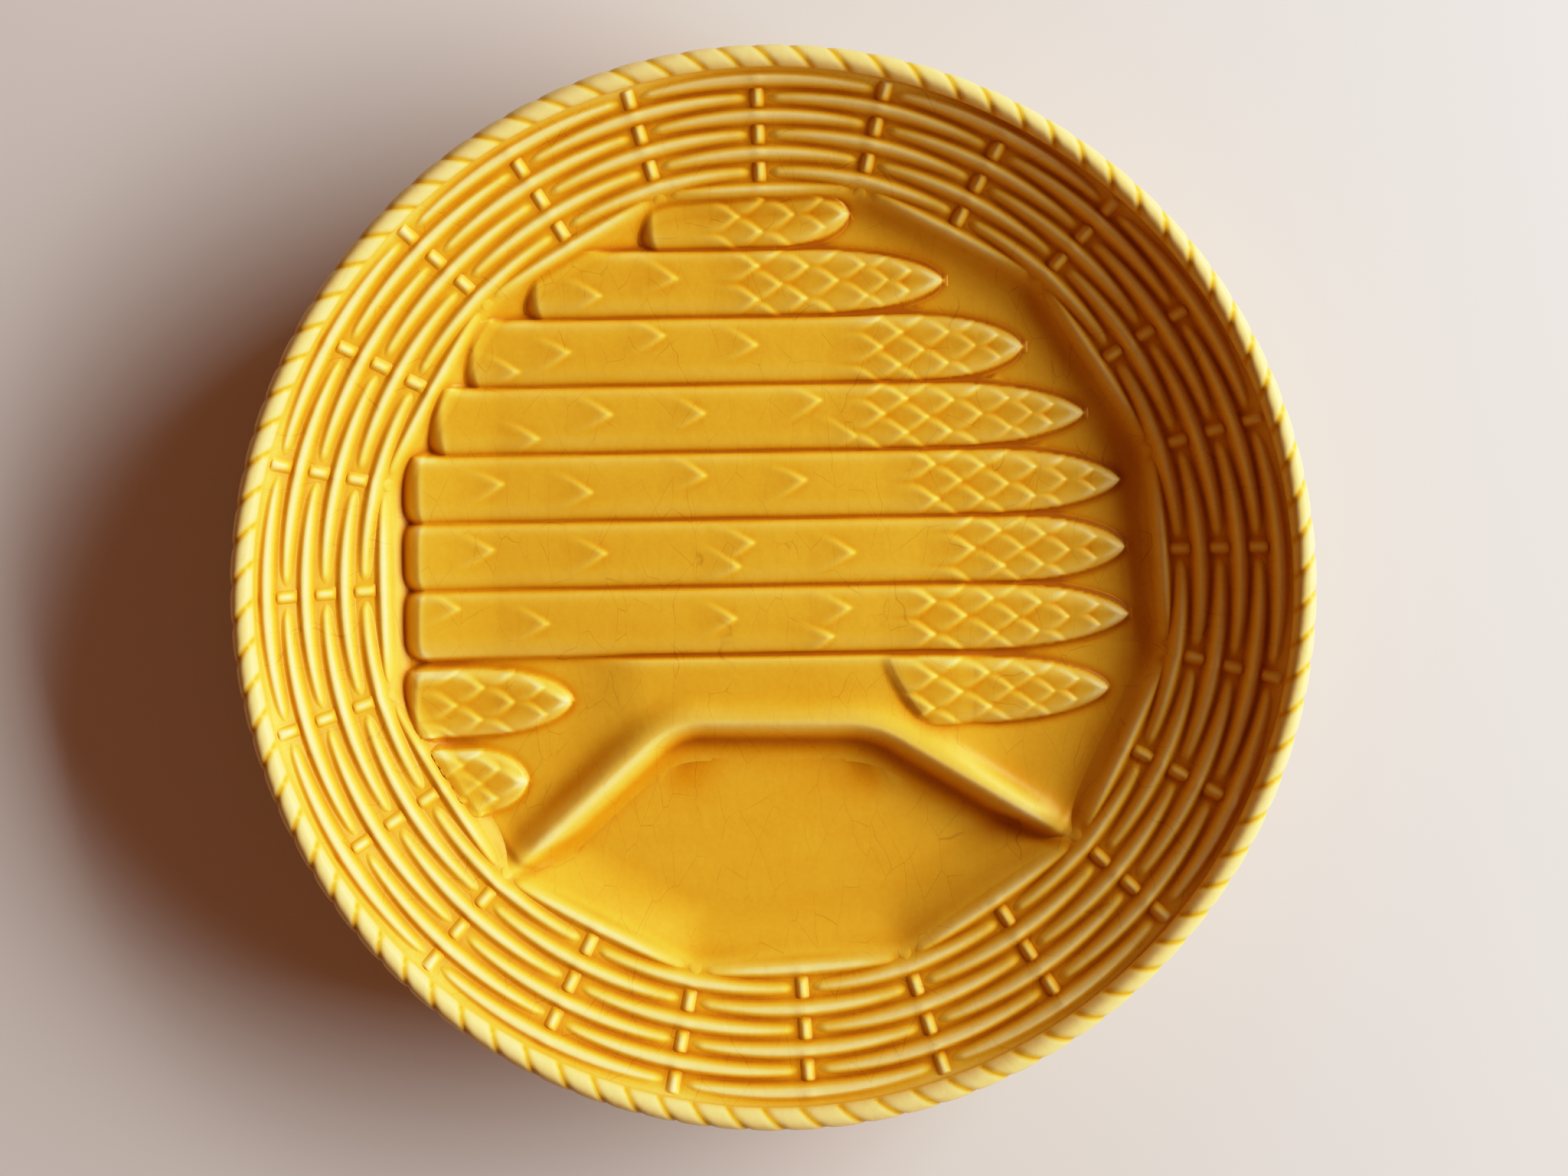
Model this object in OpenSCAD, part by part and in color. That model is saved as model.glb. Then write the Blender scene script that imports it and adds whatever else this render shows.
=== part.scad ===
// Asparagus plate in moulded earthenware: a basket-woven wall with a rope border round a
// twelve-sided well, which holds a bed of asparagus spears and a sauce compartment.
// Origin at the middle of the foot's resting face, Z up, spear tips along +X.

/* [Plate] */
// Diameter over the rope border
plate_d = 250; // [244:1:260]
// Thickness of the clay in the basket wall
wall_t = 4.5; // [4:0.1:5.5]
// Thickness of the clay under the sauce floor
floor_t = 3.8; // [3.2:0.1:5]
// Slope of the basket wall where it meets the rope, in degrees
rim_angle = 42; // [40:1:46]
// Slope of the basket wall at the lip of the well, in degrees
lip_angle = 22; // [18:1:25]
// Width of the flat base outside the foot ring
base_margin_w = 9.5; // [5:0.5:18]
// Width of the foot ring where it rests
foot_w = 4.5; // [3:0.1:8]
// Height of the foot ring
foot_h = 2.8; // [2:0.1:4]

/* [Rope border] */
// Thickness of the rope
rope_d = 5.4; // [4.8:0.1:6.2]
// Number of twists around the rim
rope_twist_count = 90; // [60:2:110]
// Depth of the groove between two twists
rope_groove = 0.55; // [0.2:0.05:0.8]

/* [Well] */
// Height of the well's lip above the table
lip_h = 13.3; // [12.8:0.1:17]
// Step from the sauce floor up to the bed under the spears
bed_step = 2.2; // [1:0.1:3]
// Slope of the side walls of the well, in degrees
well_wall_angle = 66; // [55:1:75]
// Hollow rounding between the side walls and the floor
well_fillet = 5; // [3:0.5:6]

/* [Basket weave] */
// Width of the basket wall seen from above, from the lip of the well to the rope
basket_w = 29; // [27:0.5:32]
// Gap between the strands of two neighbouring rows
strand_gap = 0.55; // [0.3:0.05:1]
// Height of a strand above the wall where it crosses a stake
strand_rise = 1.9; // [1.4:0.1:2.1]
// Width of a stake
stake_w = 2.2; // [1.6:0.1:2.8]
// Height of a stake above the wall
stake_rise = 1.2; // [0.8:0.1:1.3]
// Gap between a stake and the end of a strand beside it
stake_gap = 0.9; // [0.5:0.1:2]
// Gap along the wall from the rope's seat to the middle of the first row of strands
first_row_gap = 3.4; // [3:0.1:4.5]
// How far the hand-laid stakes stray from an even spacing, in degrees
stake_sway_angle = 1.8; // [0:0.1:2.2]

/* [Sauce divider] */
// Height of the divider's crest above the sauce floor
divider_h = 8; // [6.5:0.1:9]
// Width of the divider at the sauce floor
divider_w = 12; // [10:0.5:14]
// Thickness of the divider's rounded crest
divider_crest_w = 4.8; // [3.5:0.1:6]
// Width of the sauce compartment, from the lip of the well to the middle of the divider
sauce_w = 57; // [52:0.5:59]

/* [Spears] */
// Height of a spear above the bed
spear_rise = 3.6; // [2.8:0.1:4.2]
// Width of the groove between two spears
groove_w = 0.4; // [0.3:0.1:1]
// Turn of the spears against the divider, in degrees
spear_turn_angle = 0.9; // [0:0.1:1.5]
// Length of the rounding at the cut end of a spear
butt_len = 3.5; // [2:0.5:5]
// Length of a leaf on a spear
leaf_len = 13; // [9:0.5:15]
// Width of a leaf on a spear
leaf_w = 8.4; // [6:0.2:10]
// Height that the point of a leaf stands off its spear
leaf_lift = 0.8; // [0.4:0.1:1]

/* [Hidden] */
$fn = 48;

// Facets of the long sweeps round the plate
ring_fn = 240;
// Overrun of every cut past the solid that it cuts
overrun = 6;
half_turn = 180;
full_turn = 360;
side_count = 12;
row_count = 7;
side_half_angle = half_turn / side_count;

// Glaze and clay, as they show
honey = "#d8a020";
amber = "#c98a18";
straw = "#e6bc4a";
clay = "#c8a27a";

// Rope: its flat seat on the rim leaves this angle of the section below its middle
rope_seat_angle = 50;
rope_ring_count = 3;
rope_section_count = 8;
// Part of one twist that the groove moves on from the outer to the inner side
rope_slant_share = 0.6;
rim_land_share = 0.85;
rope_r = rope_d / 2;
rope_ring_r = plate_d / 2 - rope_r;
rim_in_r = rope_ring_r - rope_r * rim_land_share;
rim_out_r = rope_ring_r + rope_r * rim_land_share;

// Basket wall: an arc in section, from the lip of the well up to the seat of the rope
lip_r = rim_in_r - basket_w;
arc_r = basket_w / (sin(rim_angle) - sin(lip_angle));
arc_mid_r = lip_r - arc_r * sin(lip_angle);
arc_mid_z = lip_h + arc_r * cos(lip_angle);
first_row_angle = rim_angle - first_row_gap / arc_r * half_turn / PI;
row_step_angle = (first_row_angle - lip_angle) / (row_count - 1 / 2);
row_w = 2 * arc_r * sin(row_step_angle / 2);
strand_w = row_w - strand_gap;

function unit(v) = v / norm(v);
// Point of the wall's section at slope a, moved out through the clay by depth
function wall_point(a, depth) = [
    arc_mid_r + (arc_r + depth) * sin(a),
    arc_mid_z - (arc_r + depth) * cos(a)
];
function row_angle(row) = first_row_angle - (row - 1) * row_step_angle;
function band_low(row) = wall_point(row_angle(row) - row_step_angle / 2, 0);
function band_high(row) = wall_point(row_angle(row) + row_step_angle / 2, 0);
function row_dir(row) = unit(band_high(row) - band_low(row));
function row_normal(row) = [-row_dir(row)[1], row_dir(row)[0]];
function row_mid(row) = (band_low(row) + band_high(row)) / 2;
rim_z = wall_point(rim_angle, 0)[1];
rope_z = rim_z + rope_r * sin(rope_seat_angle);

// Stakes: even numbers stand at the middle of a side of the well, odd ones at a corner
first_stake_angle = 3;
stake_step_angle = half_turn / side_count;
sway_phase_angle = 33;
function stake_azimuth(n) = first_stake_angle + stake_step_angle * n
    + stake_sway_angle * cos(first_stake_angle + stake_step_angle * n + sway_phase_angle);
// Strands: the outline of a section, across it and up, in half widths and heights
strand_section_shares = [[-1, 0], [1, 0], [0.72, 0.72], [0, 1], [-0.72, 0.72]];
strand_step_count = 8;
strand_taper_power = 3;
// Point p of a strand's section, at the part t of its reach either side of its middle
function strand_point(row, slide, middle, reach, t, p) =
    let (
        half_w = strand_w / 2 * sqrt(1 - pow(abs(t), strand_taper_power)),
        rise = strand_rise * (1 - pow(t, 2)),
        at = row_mid(row) + row_dir(row) * (slide * pow(t, 2) + p[0] * half_w)
            + row_normal(row) * p[1] * rise,
        turn = middle + reach * t
    )
    [at[0] * cos(turn), at[0] * sin(turn), at[1]];
// Part of the way to a straight chord that the strands of the lip row take
lip_chord_share = 0.65;
lip_row_slide = row_mid(row_count)[0] * (1 / cos(side_half_angle) - 1) * lip_chord_share;
stake_len_share = 0.94;
// Stakes: the outline of a section, across it and up, and the height along the bar
stake_section_shares = [[1, 0], [-1, 0], [-0.72, 0.7], [0, 1], [0.72, 0.7]];
stake_length_shares = [[-1, 0.5], [-0.75, 1], [0.75, 1], [1, 0.5]];

// Well: section of a side wall from the floor up past the lip
base_z = foot_h;
sauce_floor_z = foot_h + floor_t;
bed_z = sauce_floor_z + bed_step;
fillet_step_count = 3;
fillet_limit_share = 0.8;
function fillet_r(floor_z) = min(
    well_fillet,
    (lip_h - floor_z) * fillet_limit_share / (1 - cos(well_wall_angle))
);
function floor_edge_r(floor_z) = lip_r
    - (lip_h - floor_z - fillet_r(floor_z) * (1 - cos(well_wall_angle)))
    / tan(well_wall_angle)
    - fillet_r(floor_z) * sin(well_wall_angle);
function wall_fillet(floor_z) = [for (i = [0:fillet_step_count])
    let (a = well_wall_angle * i / fillet_step_count)
    [floor_edge_r(floor_z) + fillet_r(floor_z) * sin(a),
     floor_z + fillet_r(floor_z) * (1 - cos(a))]];
well_section = concat(
    wall_fillet(bed_z),
    [[lip_r + overrun / tan(well_wall_angle), lip_h + overrun]]
);
// The sauce's hollow keeps to the same wall halfway from the bed's fillet to the lip, and
// leans back in above that, where the well is already open
sauce_wall_z = (wall_fillet(bed_z)[fillet_step_count][1] + lip_h) / 2;
sauce_section = concat(
    wall_fillet(sauce_floor_z),
    [[lip_r - (lip_h - sauce_wall_z) / tan(well_wall_angle), sauce_wall_z],
     [floor_edge_r(sauce_floor_z), lip_h + overrun]]
);
function corner_azimuth(i) = stake_azimuth(2 * i + 1);
function corner_at(i, side_r) = side_r / cos(side_half_angle)
    * [cos(corner_azimuth(i)), sin(corner_azimuth(i))];

// Underside: a curve from the flat base out to the back of the basket wall
heel_angle = 26;
heel_step_count = 6;
heel_pull_share = 0.45;
heel_inset_share = 0.7;
base_r = lip_r - well_fillet * heel_inset_share;
foot_r = base_r - base_margin_w;
heel_top = wall_point(heel_angle, wall_t);
heel_pull = (heel_top[0] - base_r) * heel_pull_share;
heel_points = [
    [base_r, base_z],
    [base_r + heel_pull, base_z],
    heel_top - heel_pull * [cos(heel_angle), sin(heel_angle)],
    heel_top
];
function bezier(p, t) = pow(1 - t, 3) * p[0] + 3 * pow(1 - t, 2) * t * p[1]
    + 3 * (1 - t) * pow(t, 2) * p[2] + pow(t, 3) * p[3];
back_step_count = 6;
rim_edge_share = 0.45;

// Divider: its path in plan, from one corner of the well to another
divider_left_index = 7;
divider_right_index = 10;
divider_reach_share = 1.06;
divider_half_run = lip_r * tan(side_half_angle);
divider_y = sauce_w - lip_r;
divider_path = [
    corner_at(divider_left_index, lip_r) * divider_reach_share,
    [-divider_half_run, divider_y],
    [divider_half_run, divider_y],
    corner_at(divider_right_index, lip_r) * divider_reach_share
];
divider_fn = 20;
divider_gap = 0.3;
divider_crest_r = divider_crest_w / 2;
divider_flare = (divider_w / 2 - divider_crest_r) / (divider_h - divider_crest_r);
// Softening of the divider's two bends, as a share of its middle run
bend_share = 0.16;
bend_step_count = 3;
// Point at t round the bend at point i of the path
function bend_point(i, t) =
    let (
        reach = bend_share * 2 * divider_half_run,
        from = divider_path[i] - reach * unit(divider_path[i] - divider_path[i - 1]),
        to = divider_path[i] + reach * unit(divider_path[i + 1] - divider_path[i])
    )
    pow(1 - t, 2) * from + 2 * t * (1 - t) * divider_path[i] + pow(t, 2) * to;
divider_line = concat(
    [divider_path[0]],
    [for (i = [1:len(divider_path) - 2]) for (k = [0:bend_step_count])
        bend_point(i, k / bend_step_count)],
    [divider_path[len(divider_path) - 1]]
);
function divider_normal(i) =
    let (run = unit(divider_path[i + 1] - divider_path[i])) [-run[1], run[0]];
// Point i of the path moved towards the spears, so that every run moves by back
function divider_offset(i, back) =
    i == 0 ? divider_path[i] + [0, back / divider_normal(i)[1]]
    : i == len(divider_path) - 1 ? divider_path[i] + [0, back / divider_normal(i - 1)[1]]
    : divider_path[i] + back * (divider_normal(i - 1) + divider_normal(i))
        / (1 + divider_normal(i - 1) * divider_normal(i));

// Spears: places along X as shares of the bed's half width, and across it in rows of
// spears from the far side of the bed. Each line is [cut end, start of the head, tip,
// place across].
spear_place_shares = [
    [-0.32, -0.09, 0.23, -0.11],
    [-0.65, -0.04, 0.49, 0.89],
    [-0.83, 0.30, 0.71, 1.89],
    [-0.92, 0.30, 0.88, 2.89],
    [-1.00, 0.44, 0.98, 3.89],
    [-1.01, 0.55, 0.99, 4.89],
    [-1.01, 0.44, 1.00, 5.89],
    [0.33, 0.45, 0.94, 6.98],
    [-1.01, -0.90, -0.57, 7.05],
    [-0.96, -0.90, -0.70, 8.24]
];
// Leaves on each stem: the point's place along X, and across the stem
leaf_place_shares = [
    [],
    [[-0.47, -0.35], [-0.25, 0.15]],
    [[-0.70, -0.55], [-0.56, 0.00], [-0.29, 0.45], [-0.03, 0.15]],
    [[-0.65, -0.55], [-0.44, 0.15], [-0.18, 0.15], [0.15, 0.50], [0.25, -0.60]],
    [[-0.75, 0.15], [-0.50, -0.15], [-0.18, 0.30], [0.10, 0.15]],
    [[-0.78, 0.20], [-0.46, 0.05], [-0.07, 0.30], [0.24, 0.00]],
    [[-0.87, 0.45], [-0.63, 0.00], [-0.10, 0.05], [0.22, 0.35], [0.17, -0.50]],
    [],
    [],
    []
];
// Scales on each head: the point's place along the head, and across it
scale_place_shares = [
    [0.20, 0.45], [0.24, -0.45], [0.38, 0.05], [0.52, 0.50],
    [0.56, -0.45], [0.70, 0.05], [0.82, 0.40], [0.84, -0.40]
];
scale_len_share = 0.30;
scale_w_share = 0.42;
// Slices that a leaf is spanned over: back from its point, and across, in lengths and half widths
leaf_slice_shares = [[1.00, 0.70], [0.60, 1.00], [0.20, 0.60], [0.00, 0.10]];
leaf_across_shares = [-1, 0, 1];
leaf_slice_t = 0.05;
leaf_root_share = 0.5;
spear_fn = 32;
head_step_count = 6;
// Part of its taper to a point at which a head ends bluntly
head_end_share = 0.98;
butt_step_count = 3;
// Part of its rounding at which a cut end starts flat
butt_start_share = 0.03;
head_power = 0.75;
butt_power = 3;
bed_r = floor_edge_r(bed_z);
spear_row_count = 7;
spear_pitch = (bed_r - divider_y - divider_w / 2) / spear_row_count;
spear_half_w = (spear_pitch - groove_w) / 2;
spear_sweep_r = (pow(spear_half_w, 2) + pow(spear_rise, 2)) / (2 * spear_rise);
spear_drop = spear_sweep_r - spear_rise;

// Radius about the spear's sunken axis that leaves half width w at the bed
function sweep_r(w) = sqrt(pow(w, 2) + pow(spear_drop, 2));
function head_half_w(u) = spear_half_w * pow(1 - pow(u, 2), head_power);
function butt_half_w(u) = spear_half_w * pow(1 - pow(1 - u, butt_power), 1 / butt_power);
function spear_section(butt, head, tip) = concat(
    [[0, butt + butt_len * butt_start_share]],
    [for (i = [0:butt_step_count])
        let (u = butt_start_share + (1 - butt_start_share) * i / butt_step_count)
        [sweep_r(butt_half_w(u)), butt + butt_len * u]],
    [for (i = [0:head_step_count])
        let (u = head_end_share * sqrt(i / head_step_count))
        [sweep_r(head_half_w(u)), head + (tip - head) * u]],
    [[0, head + (tip - head) * head_end_share]]
);

module dish_shell() {
    back = [for (i = [0:back_step_count])
        wall_point(heel_angle + (rim_angle - heel_angle) * i / back_step_count, wall_t)];
    heel = [for (i = [0:heel_step_count - 1]) bezier(heel_points, i / heel_step_count)];
    front = [for (row = [1:row_count]) band_high(row)];
    lip_run = band_low(row_count) - row_dir(row_count) * strand_w;
    color(honey)
    difference() {
        rotate_extrude($fn = ring_fn)
            polygon(concat(
                [[0, base_z]],
                heel,
                back,
                [[rim_out_r, rim_z - rope_r * rim_edge_share], [rim_out_r, rim_z],
                 [rim_in_r, rim_z]],
                front,
                [lip_run, [0, lip_run[1]]]
            ));
        hollow(well_section);
        sauce_hollow();
    }
}

module foot_ring() {
    spread_share = 0.2;
    spread = foot_w * spread_share;
    color(clay)
    rotate_extrude($fn = ring_fn)
        polygon([
            [foot_r - foot_w, 0],
            [foot_r, 0],
            [foot_r + spread, foot_h],
            [foot_r - foot_w - spread, foot_h]
        ]);
}

// Twelve-sided hollow with the given section, open upwards
module hollow(section) {
    levels = len(section);
    points = [for (p = section) for (i = [0:side_count - 1])
        [corner_at(i, p[0])[0], corner_at(i, p[0])[1], p[1]]];
    sides = [for (k = [0:levels - 2]) for (i = [0:side_count - 1])
        let (j = (i + 1) % side_count)
        [k * side_count + i, (k + 1) * side_count + i,
         (k + 1) * side_count + j, k * side_count + j]];
    floor_face = [for (i = [0:side_count - 1]) i];
    top_face = [for (i = [side_count - 1:-1:0]) (levels - 1) * side_count + i];
    polyhedron(points, concat([floor_face, top_face], sides));
}

// Plan of the well on the spears' side of the divider, kept back from it all along
module bed_plan(back) {
    edge = [for (i = [0:len(divider_path) - 1]) divider_offset(i, back)];
    polygon(concat(
        edge,
        [[plate_d / 2, edge[len(edge) - 1][1]],
         [plate_d / 2, plate_d / 2],
         [-plate_d / 2, plate_d / 2],
         [-plate_d / 2, edge[0][1]]]
    ));
}

module sauce_plan() {
    polygon([
        divider_path[0], divider_path[1], divider_path[2], divider_path[3],
        [plate_d / 2, divider_path[3][1]],
        [plate_d / 2, -plate_d / 2],
        [-plate_d / 2, -plate_d / 2],
        [-plate_d / 2, divider_path[0][1]]
    ]);
}

// Room for the spears: the flat of their floor, kept back from the middle of the divider
module bed_room(back) {
    translate([0, 0, bed_z])
        linear_extrude(spear_rise + overrun)
            intersection() {
                polygon([for (i = [0:side_count - 1]) corner_at(i, bed_r)]);
                bed_plan(back);
            }
}

module sauce_hollow() {
    intersection() {
        hollow(sauce_section);
        linear_extrude(lip_h + 2 * overrun) sauce_plan();
    }
}

module rope_border() {
    ring_total = rope_twist_count * rope_ring_count;
    arc_angle = half_turn + 2 * rope_seat_angle;
    points = [for (i = [0:ring_total - 1]) for (j = [0:rope_section_count - 1])
        let (
            turn = full_turn * i / ring_total,
            section_angle = -rope_seat_angle + arc_angle * j / (rope_section_count - 1),
            twist = i / rope_ring_count + section_angle / half_turn * rope_slant_share,
            on_seat = j == 0 || j == rope_section_count - 1,
            notch = on_seat ? 0 : 1 - abs(sin(half_turn * twist)),
            r = rope_r - rope_groove * notch,
            out = rope_ring_r + r * cos(section_angle)
        )
        [out * cos(turn), out * sin(turn), rope_z + r * sin(section_angle)]];
    faces = [for (i = [0:ring_total - 1]) for (j = [0:rope_section_count - 1])
        let (
            a = i * rope_section_count + j,
            b = i * rope_section_count + (j + 1) % rope_section_count,
            c = ((i + 1) % ring_total) * rope_section_count + (j + 1) % rope_section_count,
            d = ((i + 1) % ring_total) * rope_section_count + j
        )
        each [[a, b, c], [a, c, d]]];
    color(straw) polyhedron(points, faces);
}

// One strand over stake n: a rounded lens on the wall, closed to a point at each end
module strand(row, n) {
    from = stake_azimuth(n - 1);
    to = stake_azimuth(n + 1);
    half = (to - from) / 2;
    reach = half - (stake_w / 2 + stake_gap) / row_mid(row)[0] * half_turn / PI;
    slide = row == row_count ? lip_row_slide : 0;
    ring = len(strand_section_shares);
    rings = strand_step_count - 1;
    points = concat(
        [strand_point(row, slide, from + half, reach, -1, [0, 0])],
        [for (k = [1:rings]) for (p = strand_section_shares)
            strand_point(row, slide, from + half, reach, 2 * k / strand_step_count - 1, p)],
        [strand_point(row, slide, from + half, reach, 1, [0, 0])]
    );
    last = rings * ring + 1;
    sides = [for (k = [0:rings - 2]) for (j = [0:ring - 1])
        let (
            a = 1 + k * ring + j,
            b = 1 + k * ring + (j + 1) % ring
        )
        each [[a, a + ring, b + ring], [a, b + ring, b]]];
    ends = [for (j = [0:ring - 1])
        let (k = (j + 1) % ring)
        each [[0, 1 + j, 1 + k], [last, last - ring + k, last - ring + j]]];
    polyhedron(points, concat(sides, ends));
}

module weave_row(row) {
    color(row % 2 == 0 ? amber : honey)
    for (i = [0:side_count - 1]) strand(row, 2 * i + (row + 1) % 2);
}

// A stake that shows over a row: a half-round bar along the slope, lower at its ends
module stake(row, turn) {
    ring = len(stake_section_shares);
    rings = len(stake_length_shares);
    points = [for (k = stake_length_shares) for (p = stake_section_shares)
        let (
            at = row_mid(row) + row_dir(row) * k[0] * row_w * stake_len_share / 2
                + row_normal(row) * p[1] * k[1] * stake_rise
        )
        [at[0], p[0] * stake_w / 2, at[1]]];
    sides = [for (k = [0:rings - 2]) for (j = [0:ring - 1])
        let (
            a = k * ring + j,
            b = k * ring + (j + 1) % ring
        )
        [a, a + ring, b + ring, b]];
    low_end = [for (j = [0:ring - 1]) j];
    high_end = [for (j = [ring - 1:-1:0]) (rings - 1) * ring + j];
    rotate([0, 0, turn]) polyhedron(points, concat([low_end, high_end], sides));
}

// Stakes that show over every second row, from the given row on
module stakes(first_row, first_n) {
    color(straw)
    for (row = [first_row:2:row_count - 1], i = [0:side_count - 1])
        stake(row, stake_azimuth(2 * i + first_n));
}

// A post of the divider: a cone from under the floor up to the rounded crest
module divider_post(at) {
    translate([at[0], at[1], sauce_floor_z]) {
        translate([0, 0, divider_h - divider_crest_r])
            sphere(r = divider_crest_r, $fn = divider_fn);
        translate([0, 0, -overrun])
            cylinder(
                h = divider_h - divider_crest_r + overrun,
                r1 = divider_w / 2 + divider_flare * overrun,
                r2 = divider_crest_r,
                $fn = divider_fn
            );
    }
}

module sauce_divider() {
    color(honey)
    intersection() {
        for (i = [0:len(divider_line) - 2])
            hull() {
                divider_post(divider_line[i]);
                divider_post(divider_line[i + 1]);
            }
        union() {
            hollow(well_section);
            sauce_hollow();
        }
    }
}

// A slice across a spear, from the bed up to radius r about the spear's sunken axis
module leaf_slice(x, side, half_w, r) {
    across = [for (p = leaf_across_shares) max(-r, min(r, side + p * half_w))];
    translate([x, 0, bed_z - spear_drop])
        rotate([90, 0, 90])
            linear_extrude(leaf_slice_t)
                polygon(concat(
                    [for (y = across) [y, sqrt(pow(r, 2) - pow(y, 2))]],
                    [[across[len(across) - 1], 0], [across[0], 0]]
                ));
}

// A leaf from root to tip along a spear, which stands off the stem at its point
module leaf(root, tip, side, half_w, root_r, tip_r) {
    hull()
        for (p = leaf_slice_shares)
            leaf_slice(tip + p[0] * (root - tip), side, p[1] * half_w,
                tip_r + p[0] * (root_r - tip_r));
}

// One spear in place, before the walls of the well cut it off
module whole_spear(row) {
    place = spear_place_shares[row - 1];
    butt = place[0] * bed_r;
    head = place[1] * bed_r;
    tip = place[2] * bed_r;
    first_root = butt + butt_len;
    translate([0, 0, bed_z - spear_drop])
        rotate([0, 90, 0])
            rotate_extrude($fn = spear_fn) polygon(spear_section(butt, head, tip));
    for (p = leaf_place_shares[row - 1])
        leaf(
            max(p[0] * bed_r - leaf_len, first_root),
            p[0] * bed_r,
            p[1] * spear_half_w,
            leaf_w / 2,
            spear_sweep_r - leaf_lift * leaf_root_share,
            spear_sweep_r + leaf_lift
        );
    for (p = scale_place_shares) {
        root_u = max(0, p[0] - scale_len_share);
        leaf(
            max(head + (p[0] - scale_len_share) * (tip - head), first_root),
            head + p[0] * (tip - head),
            p[1] * head_half_w(p[0]),
            scale_w_share * head_half_w(root_u),
            sweep_r(head_half_w(root_u)) - leaf_lift * leaf_root_share,
            sweep_r(head_half_w(p[0])) + leaf_lift
        );
    }
}

module spear(row) {
    color(row % 2 == 0 ? straw : honey)
    intersection() {
        rotate([0, 0, spear_turn_angle])
            translate([0, bed_r - spear_place_shares[row - 1][3] * spear_pitch, 0])
                whole_spear(row);
        bed_room(divider_w / 2 + divider_gap);
    }
}

dish_shell();
foot_ring();
rope_border();
weave_row(1);  // weave_row_1
weave_row(2);  // weave_row_2
weave_row(3);  // weave_row_3
weave_row(4);  // weave_row_4
weave_row(5);  // weave_row_5
weave_row(6);  // weave_row_6
weave_row(7);  // weave_row_7
stakes(1, 1);  // corner_stakes
stakes(2, 0);  // side_stakes
sauce_divider();
spear(1);  // spear_1
spear(2);  // spear_2
spear(3);  // spear_3
spear(4);  // spear_4
spear(5);  // spear_5
spear(6);  // spear_6
spear(7);  // spear_7
spear(8);  // spear_8
spear(9);  // spear_tip_upper
spear(10);  // spear_tip_lower
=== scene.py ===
"""Asparagus plate in honey-glazed earthenware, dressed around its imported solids.

Sizes in the classes are millimetres in the part's frame: the foot rests at z 0, the rope
border stands at the top, and the spears' tips point along +X. Meshes hold metres.
"""

import logging
import math
from collections.abc import Callable
from dataclasses import dataclass, field, replace
from enum import Enum

import bmesh
import bpy
import numpy as np
from mathutils import Matrix, Vector


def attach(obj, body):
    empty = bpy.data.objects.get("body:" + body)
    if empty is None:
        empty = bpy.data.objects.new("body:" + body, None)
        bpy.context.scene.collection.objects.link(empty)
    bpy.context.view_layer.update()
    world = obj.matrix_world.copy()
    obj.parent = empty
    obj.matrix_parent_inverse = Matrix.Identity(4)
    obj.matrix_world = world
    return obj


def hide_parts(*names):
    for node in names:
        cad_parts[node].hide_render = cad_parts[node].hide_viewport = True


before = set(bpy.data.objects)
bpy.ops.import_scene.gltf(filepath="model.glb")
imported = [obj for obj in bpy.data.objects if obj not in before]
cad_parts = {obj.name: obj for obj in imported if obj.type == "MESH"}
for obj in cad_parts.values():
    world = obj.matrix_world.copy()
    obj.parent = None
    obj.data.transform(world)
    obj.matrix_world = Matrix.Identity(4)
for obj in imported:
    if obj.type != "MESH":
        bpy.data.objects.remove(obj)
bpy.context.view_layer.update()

LOG = logging.getLogger("asparagus_plate")
MM = 0.001
Array = np.ndarray
Placed = tuple[Array, Array, Array]


def smooth_step(x: Array) -> Array:
    """Eases from 0 to 1 as x goes from 0 to 1."""
    x = np.clip(x, 0.0, 1.0)
    return x * x * (3.0 - 2.0 * x)


def soft_max(a: Array, b: Array, reach: float) -> Array:
    """The larger of a and b, with the corner between them filled over reach."""
    gap = np.clip(reach - np.abs(a - b), 0.0, None)
    return np.maximum(a, b) + gap * gap / (4.0 * reach)


def soft_min(a: Array, b: Array, reach: float) -> Array:
    """The smaller of a and b, with the corner between them rounded over reach."""
    return -soft_max(-a, -b, reach)


def turn_between(turn: Array, middle: float) -> Array:
    """Signed degrees from middle to turn, from -180 to 180."""
    return (turn - middle + 180.0) % 360.0 - 180.0


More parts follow.
